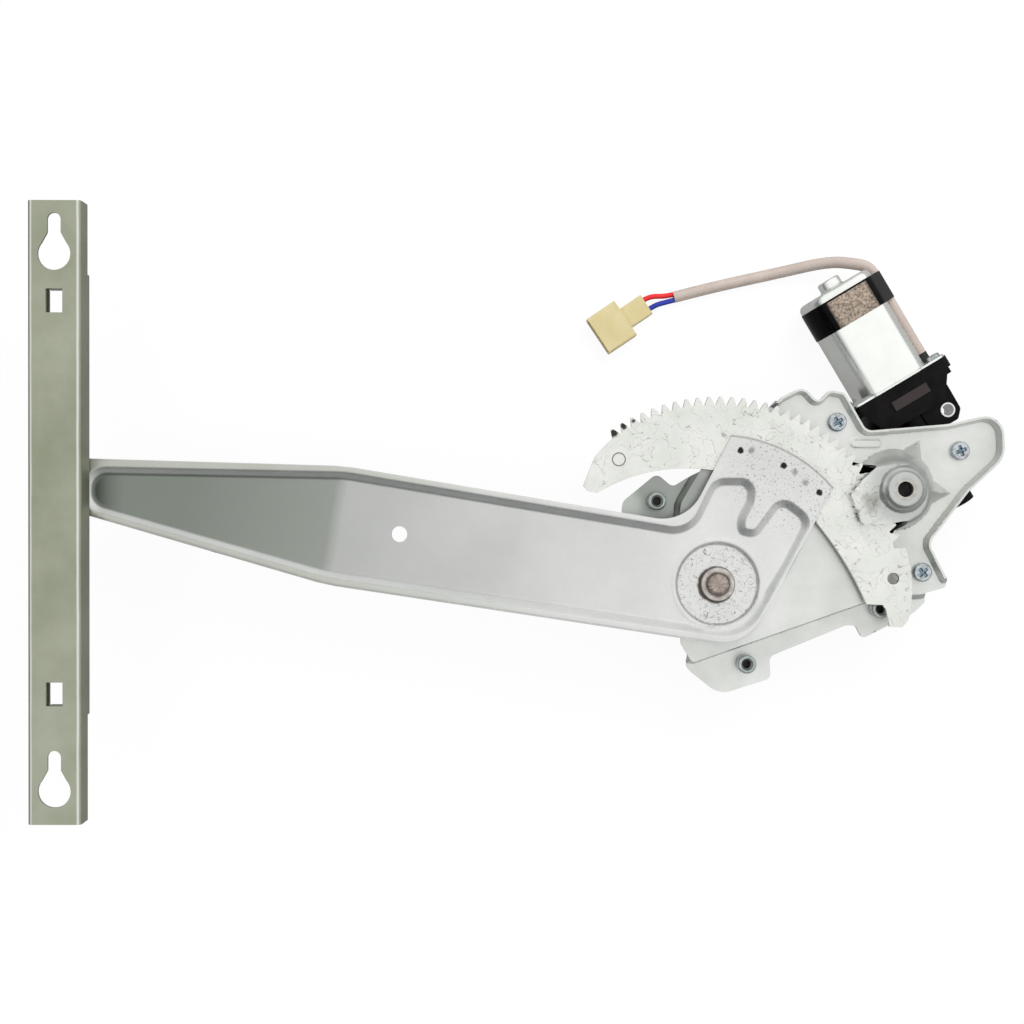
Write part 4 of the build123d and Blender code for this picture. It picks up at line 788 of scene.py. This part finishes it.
arm_place = warped(arm_tree, 14.0, 2.0)
# Painted shade: a thin grey line along the boot's curved edge over the sector.
boot_edge_shade = ring_mark(arm_tree, warped(arm_tree, 6.0, 0.15), 0.0, 0.0, 21.0, (BOOT_R - 0.7, 0.3),
                      (BOOT_R - 1.9, 0.4))
stain_near(arm_zinc, boot_edge_shade, arm_place, (40.0, 78.0, 21.0, 42.0, 6.0, 0.6), "86857a")
for weld_x, weld_y in WELDS:
    mark(arm_zinc, (1.5, 0.7), weld_x, weld_y, 21.0, 1.9, 0.5, 0.97, "171411", 0.7)
for smudge_x, smudge_y in SMUDGES:
    mark(arm_zinc, (2.0, 1.6), smudge_x, smudge_y, 21.5, 1.8, 1.2, 0.55, "5b544d", 0.6)
speckle = ranged(arm_tree, noise(arm_tree, arm_place, SPECKLE_SIZE, Detail=2.0), 0.6, 0.68)
stain_near(arm_zinc, speckle, arm_place, (40.0, 66.0, 21.0, 34.0, 10.0, 0.6), "6d675f")
hub_film = wrinkles(arm_tree, warped(arm_tree, 6.0, 2.0), 6.0, 0.02, 0.75)
stain_near(arm_zinc, hub_film, arm_place, (0.0, 0.0, 15.0, 24.0, 2.0, 0.9), "575049", 0.2)
mark(arm_zinc, (3.0, 1.0), -0.6, -0.6, 17.0, 11.1, 0.6, 0.85, "46362b", 0.5)
lift_arm.data.materials.append(arm_zinc)
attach(lift_arm, "lift_arm")
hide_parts("lift_arm")

# Sector gear. A blanked 3 mm crescent of zinc-plated steel, spot welded under the arm's boot; a film of
# grease dries on it in thin wandering lines and its first teeth are stained.
sector_zinc = zinc("zinc_plated_steel_blanked", "ebebe6", "dcddd7", patch=20.0, grain=0.9, rough=0.3)
sector_tree = sector_zinc.node_tree
stain(sector_zinc, wrinkles(sector_tree, warped(sector_tree, 6.0, 1.8), 12.0, 0.010, 0.6), "6f6a63", 0.25)
for tooth_x, tooth_y, tooth_r in ((-61.4, 88.4, 2.4), (-55.8, 92.6, 2.0), (-50.0, 95.6, 1.1)):
    mark(sector_zinc, (2.0, 1.0), tooth_x, tooth_y, 19.0, tooth_r, 0.8, 0.95, "211711", 0.6)
stain(sector_zinc, ring_mark(sector_tree, warped(sector_tree, 0.8, 0.2), -58.4, 73.1, 19.0, (4.1, 0.25),
                             (3.4, 0.25)), "77726b")
finish_node("sector_gear", sector_zinc)

# Arm stud. A turned and hardened steel pin riveted into the arm's narrow end, which carries the slider.
stud_steel = zinc("turned_steel_pin", "c5c4c1", "9d9b97", patch=4.0, grain=0.5, rough=0.24, bump=0.015)
finish_node("arm_stud", stud_steel)

# Slider. A moulded shoe of black nylon, lightly greased, that turns on the stud and runs in the rail.


def moulded(name, code, pale, rough=0.45, grain=0.7, bump=0.02, mottle=18.0):
    """Moulded plastic: one colour with faint cloudy patches, a fine spark-eroded grain and soft sheen."""
    material, tree, shader, _ = grained(name, grain, 2.0, (rough - 0.08, rough + 0.1), bump)
    clouds = ranged(tree, noise(tree, object_place(tree), mottle, Detail=4.0), 0.35, 0.7)
    tree.links.new(mixed(tree, clouds, linear(code), linear(pale)), shader.inputs["Base Color"])
    return material


def softened(name, node, width, angle=25.0):
    """Copy of a CAD solid with its doubles merged, flat faces joined and edges rounded by width in mm."""
    mesh = frame["nodes"][node].data.copy()
    mesh.name = name
    mesh.materials.clear()
    work = bmesh.new()
    work.from_mesh(mesh)
    bmesh.ops.remove_doubles(work, verts=work.verts, dist=1e-6)
    bmesh.ops.dissolve_limit(work, angle_limit=radians(1.0), verts=work.verts, edges=work.edges)
    work.to_mesh(mesh)
    work.free()
    mesh.shade_smooth()
    mesh.set_sharp_from_angle(angle=radians(angle))
    piece = linked(name, mesh)
    round_edges(piece, "rounded_edge", width, angle)
    return piece


slider_nylon = moulded("nylon_moulded_black", "161616", "232221", rough=0.4)
slider = softened("rail_slider_shoe", "rail_slider", 0.5)
slider.data.materials.append(slider_nylon)
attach(slider, "slider")
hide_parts("rail_slider")

# Lift rail. A roll-formed channel of 1.6 mm galvanised steel, open towards the arm, with keyholes for the
# glass and two lanced stops. Its grey-green tone is partly its zinc and partly painted shade, and the thin
# pale lines along its bends are painted highlights.
RAIL_BEND_X = 13.4
rail = softened("lift_rail_channel", "lift_rail", 0.35)
# Grey-green zinc: partly the galvanised finish, partly painted shade.
rail_zinc = zinc("galvanised_steel_rolled", "b0b3a1", "969a85", patch=70.0, grain=1.6, rough=0.42)
rail_tree = rail_zinc.node_tree
rail_x = axes_of(rail_tree, warped(rail_tree, 20.0, 0.25))["X"]
off_centre = maths(rail_tree, "ABSOLUTE", maths(rail_tree, "ADD", rail_x, (STUD[0] + PIVOT[0]) * -MM))
from_bend = maths(rail_tree, "ABSOLUTE", maths(rail_tree, "SUBTRACT", off_centre, RAIL_BEND_X * MM))
# Painted highlight: thin pale lines along the two bends.
stain(rail_zinc, ranged(rail_tree, from_bend, 0.9 * MM, 0.2 * MM, 0.0, 0.8), "e3e7e0", 0.3)
rail.data.materials.append(rail_zinc)
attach(rail, "rail")
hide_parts("lift_rail")

# Drive. Pinion and shaft of case-hardened steel in a sintered bush, with the rubber damper and the nylon
# worm wheel that stay inside the gear housing.
gear_steel = zinc("case_hardened_steel", "8f8d8a", "6c6a67", patch=5.0, grain=0.5, rough=0.3, bump=0.015)
finish_node("pinion_gear", gear_steel)
dark_steel = zinc("black_oxide_steel", "262423", "161413", patch=5.0, grain=0.5, rough=0.35, bump=0.015)
finish_node("output_shaft", dark_steel)
sintered = zinc("sintered_steel_oiled", "cbcac4", "aeaca5", patch=3.0, grain=0.4, rough=0.38, bump=0.03)
finish_node("pinion_bush", sintered)
finish_node("drive_damper", moulded("rubber_moulded_black", "1b1a1a", "242323", rough=0.62))
finish_node("worm_wheel", moulded("acetal_moulded_white", "e6e3da", "efece4", rough=0.35))

# Gear housing. A black glass-filled moulding with a round chamber for the wheel, the worm's tube, a ribbed
# flange for the motor and an ear with a pressed-in steel sleeve.
ARMATURE = joints["armature_turn"]
AXIS_AT = np.array(ARMATURE["pos_m"]) / MM
ALONG = np.array(ARMATURE["axis"], float)
if ALONG[1] < 0:
    ALONG = -ALONG
ALONG = ALONG / np.linalg.norm(ALONG)
ACROSS = np.array((ALONG[1], -ALONG[0], 0.0))
DOWN = np.array((0.0, 0.0, -1.0))
MOTOR_AXES = np.array((ACROSS, DOWN, ALONG))


def on_motor(across, down, along):
    """Place given across, below and along the motor's axis, in mm in the part's frame."""
    return AXIS_AT + ACROSS * across + DOWN * down + ALONG * along


housing = softened("gear_housing_moulding", "gear_housing", 0.6, 20.0)
housing_black = moulded("nylon_glass_filled_black", "060506", "120f10", rough=0.4, grain=0.9, bump=0.012,
                        mottle=9.0)
housing_black.node_tree.nodes["Principled BSDF"].inputs["Specular IOR Level"].default_value = 0.1
housing_tree = housing_black.node_tree
housing_level = axes_of(housing_tree, object_place(housing_tree))["Z"]
stain(housing_black, ranged(housing_tree, housing_level, 2.65 * MM, 2.8 * MM, 0.0, 0.5), "4c4445", 0.5)
housing.data.materials.append(housing_black)
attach(housing, "root")
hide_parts("gear_housing")
finish_node("brush_holder", housing_black)
cover = softened("gear_cover_moulding", "gear_cover", 0.4)
cover.data.materials.append(housing_black)
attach(cover, "root")
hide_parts("gear_cover")

# Ear sleeve. A short tube of zinc-plated steel pressed into the housing's ear for the third door screw.
sleeve_zinc = zinc("zinc_plated_steel_tube", "f0f0ee", "d9dad8", patch=3.0, grain=0.4, rough=0.22, bump=0.01)
finish_node("ear_sleeve", sleeve_zinc)

# Motor can. Deep-drawn steel with bright zinc: a round tube with two flats, a rounded end with a boss for
# the bush, a flange plate against the housing and a small pressed tab on the upper flat.
CAN_S, CAN_END = 54.0, 122.0
CAN_R, CAN_HALF_T, CAN_WALL, CAN_CORNER = 23.5, 18.5, 1.4, 3.5
BOSS_R, BOSS_END = 7.0, 128.0
CAN_FLANGE_T, FLANGE_HALF, FLANGE_HIGH, FLANGE_SHIFT = 1.2, 32.3, 16.5, 1.5
CAN_COLUMNS, EASE_POWER = 128, 30.0


def can_section(grow, count=CAN_COLUMNS):
    """Circle with two flats as (across, down), its corners eased by a high power of the two limits."""
    flat = CAN_HALF_T / np.maximum(np.abs(np.sin(turn_in(count))), 1e-6)
    radius = (CAN_R ** -EASE_POWER + flat ** -EASE_POWER) ** (-1 / EASE_POWER) + grow
    return circle(0, 0, radius, count)


def motor_shell(rows):
    """Closed shell through rows of (across, down) outlines at places along the motor's axis."""
    points = [level_row(outline, s) for s, outline in rows]
    faces = grid_faces(len(rows), len(points[0]), wrap_rows=True)
    return np.concatenate(points) @ MOTOR_AXES + AXIS_AT, faces


can_rows = [(s, can_section(0)) for s in (CAN_S - CAN_FLANGE_T, CAN_S, CAN_S + 1)]
can_rows += [(s, can_section(0)) for s in np.linspace(CAN_S + 8, CAN_END - CAN_CORNER - 0.2, 5)]
can_rows += [(CAN_END - CAN_CORNER * (1 - sin(a)), can_section(-CAN_CORNER * (1 - cos(a))))
             for a in np.radians(np.linspace(0, 90, 7))]
can_rows += [(s, circle(0, 0, radius, CAN_COLUMNS)) for s, radius in (
    (CAN_END, BOSS_R + 2.2), (CAN_END + 0.2, BOSS_R + 0.8), (CAN_END + 1.0, BOSS_R), (BOSS_END - 1.2, BOSS_R),
    (BOSS_END - 0.4, BOSS_R - 0.4), (BOSS_END, BOSS_R - 1.2), (BOSS_END, 3.4), (BOSS_END - 0.9, 2.8),
    (BOSS_END - 0.9, 0.0), (BOSS_END - 2.4, 0.0), (BOSS_END - 2.4, BOSS_R - CAN_WALL),
    (CAN_END - CAN_WALL, BOSS_R - CAN_WALL))]
can_rows += [(CAN_END - CAN_WALL, can_section(-CAN_CORNER)), (CAN_END - CAN_CORNER, can_section(-CAN_WALL)),
             (CAN_S - CAN_FLANGE_T, can_section(-CAN_WALL))]
plate = rounded([(FLANGE_SHIFT + across * FLANGE_HALF, down * FLANGE_HIGH, 6)
                 for across, down in ((-1, -1), (1, -1), (1, 1), (-1, 1))])


def radial(loop, count):
    """The same outline at evenly spaced angles about the motor's axis, where each ray crosses it."""
    dense = spaced(loop, 0.2)
    own = np.arctan2(dense[:, 1], dense[:, 0]) % (2 * pi)
    order = np.argsort(own)
    radius = np.interp(turn_in(count), own[order], np.hypot(dense[:, 0], dense[:, 1])[order], period=2 * pi)
    return circle(0, 0, radius, count)


lip = can_section(1.5)
lip[:, 1] = np.minimum(lip[:, 1], CAN_HALF_T + 0.4)
plate_rows = [(CAN_S - CAN_FLANGE_T, can_section(-0.3)), (CAN_S - CAN_FLANGE_T, radial(plate, CAN_COLUMNS)),
              (CAN_S, radial(plate, CAN_COLUMNS)), (CAN_S, lip), (CAN_S + 0.5, can_section(0.4)),
              (CAN_S + 1.4, can_section(-0.02))]
TAB = [(-3.8, 56.0, 0.5), (2.8, 56.0, 0.5), (2.8, 59.2, 0.5), (-3.8, 59.2, 0.5)]
TAB_RISE, TAB_ROOT = 0.3, 0.5


def tab_shell():
    """Points and faces of the small pressed tab on the can's upper flat, outlined as (across, along)."""
    outline = rounded(TAB)
    count = len(outline)
    rows = [(0.0, -TAB_ROOT), (0.0, TAB_RISE - 0.1), (0.1, TAB_RISE)]
    middle = outline.mean(0)
    points = []
    for inset, level in rows:
        loop = outline + (middle - outline) * inset
        points.append(AXIS_AT + np.outer(loop[:, 0], ACROSS) + np.outer(loop[:, 1], ALONG)
                      - DOWN * (CAN_HALF_T + level))
    faces = grid_faces(len(rows), count).tolist()
    faces += [list(range(count))[::-1], list(range((len(rows) - 1) * count, len(rows) * count))]
    return np.concatenate(points), faces


can_shells = [motor_shell(can_rows), tab_shell(), motor_shell(plate_rows)]
motor_can = solid("motor_can_drawn", *joined(can_shells), sharp=38)
can_zinc = zinc("zinc_plated_steel_drawn", "fafbf7", "eff1ec", patch=30.0, grain=0.9, rough=0.2, bump=0.002)
motor_can.data.materials.append(can_zinc)
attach(motor_can, "root")
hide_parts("motor_can")

# Inside the motor. Sintered bush, ferrite magnets and the armature with its stack of laminations, copper
# commutator and ground steel shaft.
bronze = zinc("sintered_bronze", "a9825a", "8b6744", patch=3.0, grain=0.4, rough=0.4, bump=0.03)
finish_node("can_bush", bronze)
finish_node("motor_magnets", moulded("ferrite_ground", "2c2c2e", "3a3a3c", rough=0.55, grain=0.4))
finish_node("armature_shaft", gear_steel)
finish_node("armature_core", zinc("lamination_steel", "77787a", "5c5d5f", patch=4.0, grain=0.5, rough=0.42))
finish_node("commutator", zinc("copper_turned", "c27a4d", "a4603a", patch=3.0, grain=0.4, rough=0.3))

# Screws. Zinc-plated M6 pan-head screws with a cross recess hold the housing to the bracket, and two small
# ones hold the can's flange to the housing.
FLANGE_SCREWS = [(CAN_R + 5.0, -9.0), (-CAN_R - 3.0, 9.5)]
MOUNT_SIZE = {"head_r": 5.6, "head_t": 3.4, "shank_r": 3.0, "shank": 12.0}
FLANGE_SIZE = {"head_r": 4.0, "head_t": 2.6, "shank_r": 2.0, "shank": 7.0}
MOUNT_TURNS, FLANGE_TURN = (0.6, 0.35, 0.75), 0.4
RING_SHARE = np.array([0.0, 0.12, 0.2, 0.28, 0.36, 0.44, 0.52, 0.6, 0.68, 0.78, 0.88, 0.95, 1.0])
SLOT_HALF, SLOT_REACH, SLOT_DEPTH, CROWN = 0.15, 0.62, 0.5, 0.16


def screw_shell(centre, axes, turn, head_r, head_t, shank_r, shank):
    """Domed head less a cross of two slots, z = t - c r^2 - depth of the cross, on a plain shank.

    The slots' half width and reach are shares of the head's radius, their depth and the crown of its height.
    """
    count = 72
    radii = RING_SHARE * head_r
    x, y = radii[:, None] * np.cos(turn_in(count)), radii[:, None] * np.sin(turn_in(count))
    u = np.abs(x * cos(turn) + y * sin(turn))
    v = np.abs(y * cos(turn) - x * sin(turn))
    half = SLOT_HALF * head_r
    slots = soft((half * 1.25 - np.minimum(u, v)) / (half * 0.5))
    slots = slots * soft((SLOT_REACH * head_r - np.hypot(x, y)) / 0.8)
    top = head_t - CROWN * head_t * (radii[:, None] / head_r) ** 2 - SLOT_DEPTH * head_t * slots
    top[-1] = head_t * 0.6
    top[-2] = head_t * 0.76
    head = np.stack((x, y, top), axis=-1).reshape(-1, 3)
    rows = [(head_r, 0.12), (head_r - 0.12, 0.0), (shank_r, 0.0), (shank_r, -shank), (0.0, -shank)]
    lower = [level_row(circle(0, 0, r, count), z) for r, z in rows]
    return np.concatenate([head] + lower) @ axes + centre, grid_faces(len(radii) + len(rows), count)


UPRIGHT = np.eye(3)
mount = solid("motor_mount_screws_cross", *joined([
    screw_shell(at(x, y, BRACKET_TOP), UPRIGHT, turn, **MOUNT_SIZE)
    for (x, y), turn in zip(MOTOR_SCREWS, MOUNT_TURNS)]), sharp=42)
screw_zinc = zinc("zinc_plated_steel_screw", "d5dadd", "9aa1a5", patch=3.0, grain=0.5, rough=0.25, bump=0.02)
for screw_x, screw_y in MOTOR_SCREWS:
    mark(screw_zinc, (2.0, 0.6), screw_x, screw_y, 7.6, 2.2, 0.7, 0.65, "2f6480")
mount.data.materials.append(screw_zinc)
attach(mount, "root")
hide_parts("motor_mount_screws")
small = solid("flange_screws_cross", *joined([
    screw_shell(on_motor(across, down, CAN_S), MOTOR_AXES, FLANGE_TURN, **FLANGE_SIZE)
    for across, down in FLANGE_SCREWS]), sharp=42)
small.data.materials.append(screw_zinc)
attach(small, "root")
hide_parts("flange_screws")

# Lead. A round two-core cable in a greyish PVC sheath, 184 mm of it, runs beside the can, bends over its
# rounded end and lies on the table; its red and blue cores go into the plug.
CABLE_R, WIRE_R = 3.5, 1.6
CABLE_ROUTE = [
    (130.4, 139.9, -17.0), (114.4, 166.6, -17.0), (103.3, 185.4, -17.0), (98.2, 193.5, -17.0),
    (88.0, 195.5, -18.5), (78.5, 197.0, -21.5), (67.0, 196.0, -25.0), (53.0, 193.2, -28.5),
    (37.0, 189.7, -29.5), (17.0, 185.3, -29.5), (-3.0, 180.6, -29.5), (-20.0, 176.1, -29.5),
]
NECK_END, PLUG_ANGLE = (-37.4, 171.2), 214.0
WIRE_SPREAD, WIRE_LEAD, PIN_SPREAD, WIRE_Z = 1.8, 5.0, 3.3, -28.9


def lead(name, points, radius):
    """Round cord along a smooth NURBS line through the pull of its points, from the exit to the far end."""
    curve = bpy.data.curves.new(name, "CURVE")
    curve.dimensions = "3D"
    curve.bevel_depth = radius * MM
    curve.bevel_resolution = 7
    curve.use_fill_caps = True
    line = curve.splines.new("NURBS")
    line.points.add(len(points) - 1)
    places = np.array([(*at(*p) * MM, 1.0) for p in points])
    line.points.foreach_set("co", places.ravel())
    line.order_u = 3
    line.use_endpoint_u = True
    line.resolution_u = 12
    return linked(name, curve)


def wire_points(side):
    """Core from the sheath's end to the plug: straight out, then bowed into the neck."""
    start, before = np.array(CABLE_ROUTE[-1][:2]), np.array(CABLE_ROUTE[-2][:2])
    aim = (start - before) / np.linalg.norm(start - before)
    first = start + WIRE_SPREAD * side * np.array((aim[1], -aim[0]))
    way = np.array((cos(radians(PLUG_ANGLE)), sin(radians(PLUG_ANGLE))))
    last = np.array(NECK_END) + side * PIN_SPREAD * np.array((way[1], -way[0]))
    return [(*p, WIRE_Z) for p in (first, first + WIRE_LEAD * aim, last - WIRE_LEAD * way, last)]


cable = lead("motor_cable_sheath", CABLE_ROUTE, CABLE_R)
cable.data.materials.append(moulded("pvc_sheath_extruded", "aea098", "b9aca3", rough=0.28, grain=1.4,
                                    bump=0.006))
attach(cable, "root")
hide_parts("motor_cable")
red = lead("wire_red_core", wire_points(1), WIRE_R)
red.data.materials.append(moulded("pvc_core_red", "d3161b", "dd252a", rough=0.3, grain=0.6, bump=0.006))
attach(red, "root")
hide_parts("wire_red")
blue = lead("wire_blue_core", wire_points(-1), WIRE_R)
blue.data.materials.append(moulded("pvc_core_blue", "14248c", "1e32a2", rough=0.3, grain=0.6, bump=0.006))
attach(blue, "root")
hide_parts("wire_blue")

# Plug. A two-way connector of natural nylon, moulded, with a narrow neck for the cores and an open hood
# round two brass tabs.
plug = softened("connector_shell_moulding", "connector_shell", 0.45)
nylon = moulded("nylon_moulded_natural", "c4b686", "cdc096", rough=0.42, grain=0.8, bump=0.01, mottle=14.0)
nylon_shader = nylon.node_tree.nodes["Principled BSDF"]
nylon_shader.inputs["Subsurface Weight"].default_value = 0.25
nylon_shader.inputs["Subsurface Radius"].default_value = (0.004, 0.003, 0.0016)
plug.data.materials.append(nylon)
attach(plug, "root")
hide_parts("connector_shell")
finish_node("connector_terminals", zinc("brass_stamped", "c9a554", "a98538", patch=4.0, grain=0.5, rough=0.3))
finish_node("cable_grommet", moulded("rubber_grommet_black", "1c1a1a", "262424", rough=0.6))

# Tape. One turn of black glossy PVC tape holds the lead against the can; it bridges from the can's round
# side to the cable, and its face over the can's flat has pale brown mottling, partly dust and partly a
# painted reflection.
TAPE_FROM, TAPE_TO, TAPE_T = 98.5, 117.0, 0.5
MOTTLE_SIZE = 1 / 0.65
MOTTLE_BARE, MOTTLE_FULL = 0.9, 1.5
CABLE_ACROSS, CABLE_DOWN = 27.3, 3.0


def wrapped(grow, count=180):
    """Band pulled tight round the can and the cable: the furthest point of both in each direction.

    It is read again at equal steps along its length.
    """
    both = np.concatenate([can_section(grow, 720), circle(CABLE_ACROSS, CABLE_DOWN, CABLE_R + grow, 120)])
    loop = both[np.argmax(both @ circle(0, 0, 1.0, count).T, axis=0)]
    closed = np.concatenate([loop, loop[:1]])
    reach = np.concatenate([[0.0], np.cumsum(np.linalg.norm(np.diff(closed, axis=0), axis=1))])
    steps = np.arange(count) * reach[-1] / count
    return np.stack((np.interp(steps, reach, closed[:, 0]), np.interp(steps, reach, closed[:, 1])), axis=1)


tape_rows = [(s, wrapped(grow)) for s, grow in (
    (TAPE_FROM, 0.06), (TAPE_FROM, TAPE_T - 0.1), (TAPE_FROM + 0.15, TAPE_T),
    (TAPE_TO - 0.15, TAPE_T), (TAPE_TO, TAPE_T - 0.1), (TAPE_TO, 0.06))]
tape = solid("cable_tape_turn", *motor_shell(tape_rows), sharp=40)
tape_black = moulded("pvc_tape_black", "040404", "0a0909", rough=0.16, grain=1.2, bump=0.004)
tape_tree = tape_black.node_tree
tape_tree.nodes["Principled BSDF"].inputs["Specular IOR Level"].default_value = 0.08
tape_place = object_place(tape_tree)
upper = ranged(tape_tree, axes_of(tape_tree, tape_place)["Z"], 4.6 * MM, 4.9 * MM)
mottle_noise = noise(tape_tree, tape_place, MOTTLE_SIZE, Detail=5.0, Roughness=0.7)
dust_and_reflection = maths(tape_tree, "MULTIPLY", ranged(tape_tree, mottle_noise, 0.38, 0.62, 0.25, 0.95), upper)
tape_along = add(tape_tree, "ShaderNodeVectorMath", {0: tape_place, 1: tuple(ALONG)}, operation="DOT_PRODUCT")
tape_end = (AXIS_AT @ ALONG + TAPE_TO) * MM
bare_edge = ranged(tape_tree, tape_along.outputs["Value"], tape_end - MOTTLE_BARE * MM,
                    tape_end - MOTTLE_FULL * MM)
# Pale brown mottling on the upper face: partly dust, partly painted reflection.
stain(tape_black, maths(tape_tree, "MULTIPLY", dust_and_reflection, bare_edge), "b5a494", 0.5)
tape.data.materials.append(tape_black)
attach(tape, "root")
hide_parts("cable_tape")
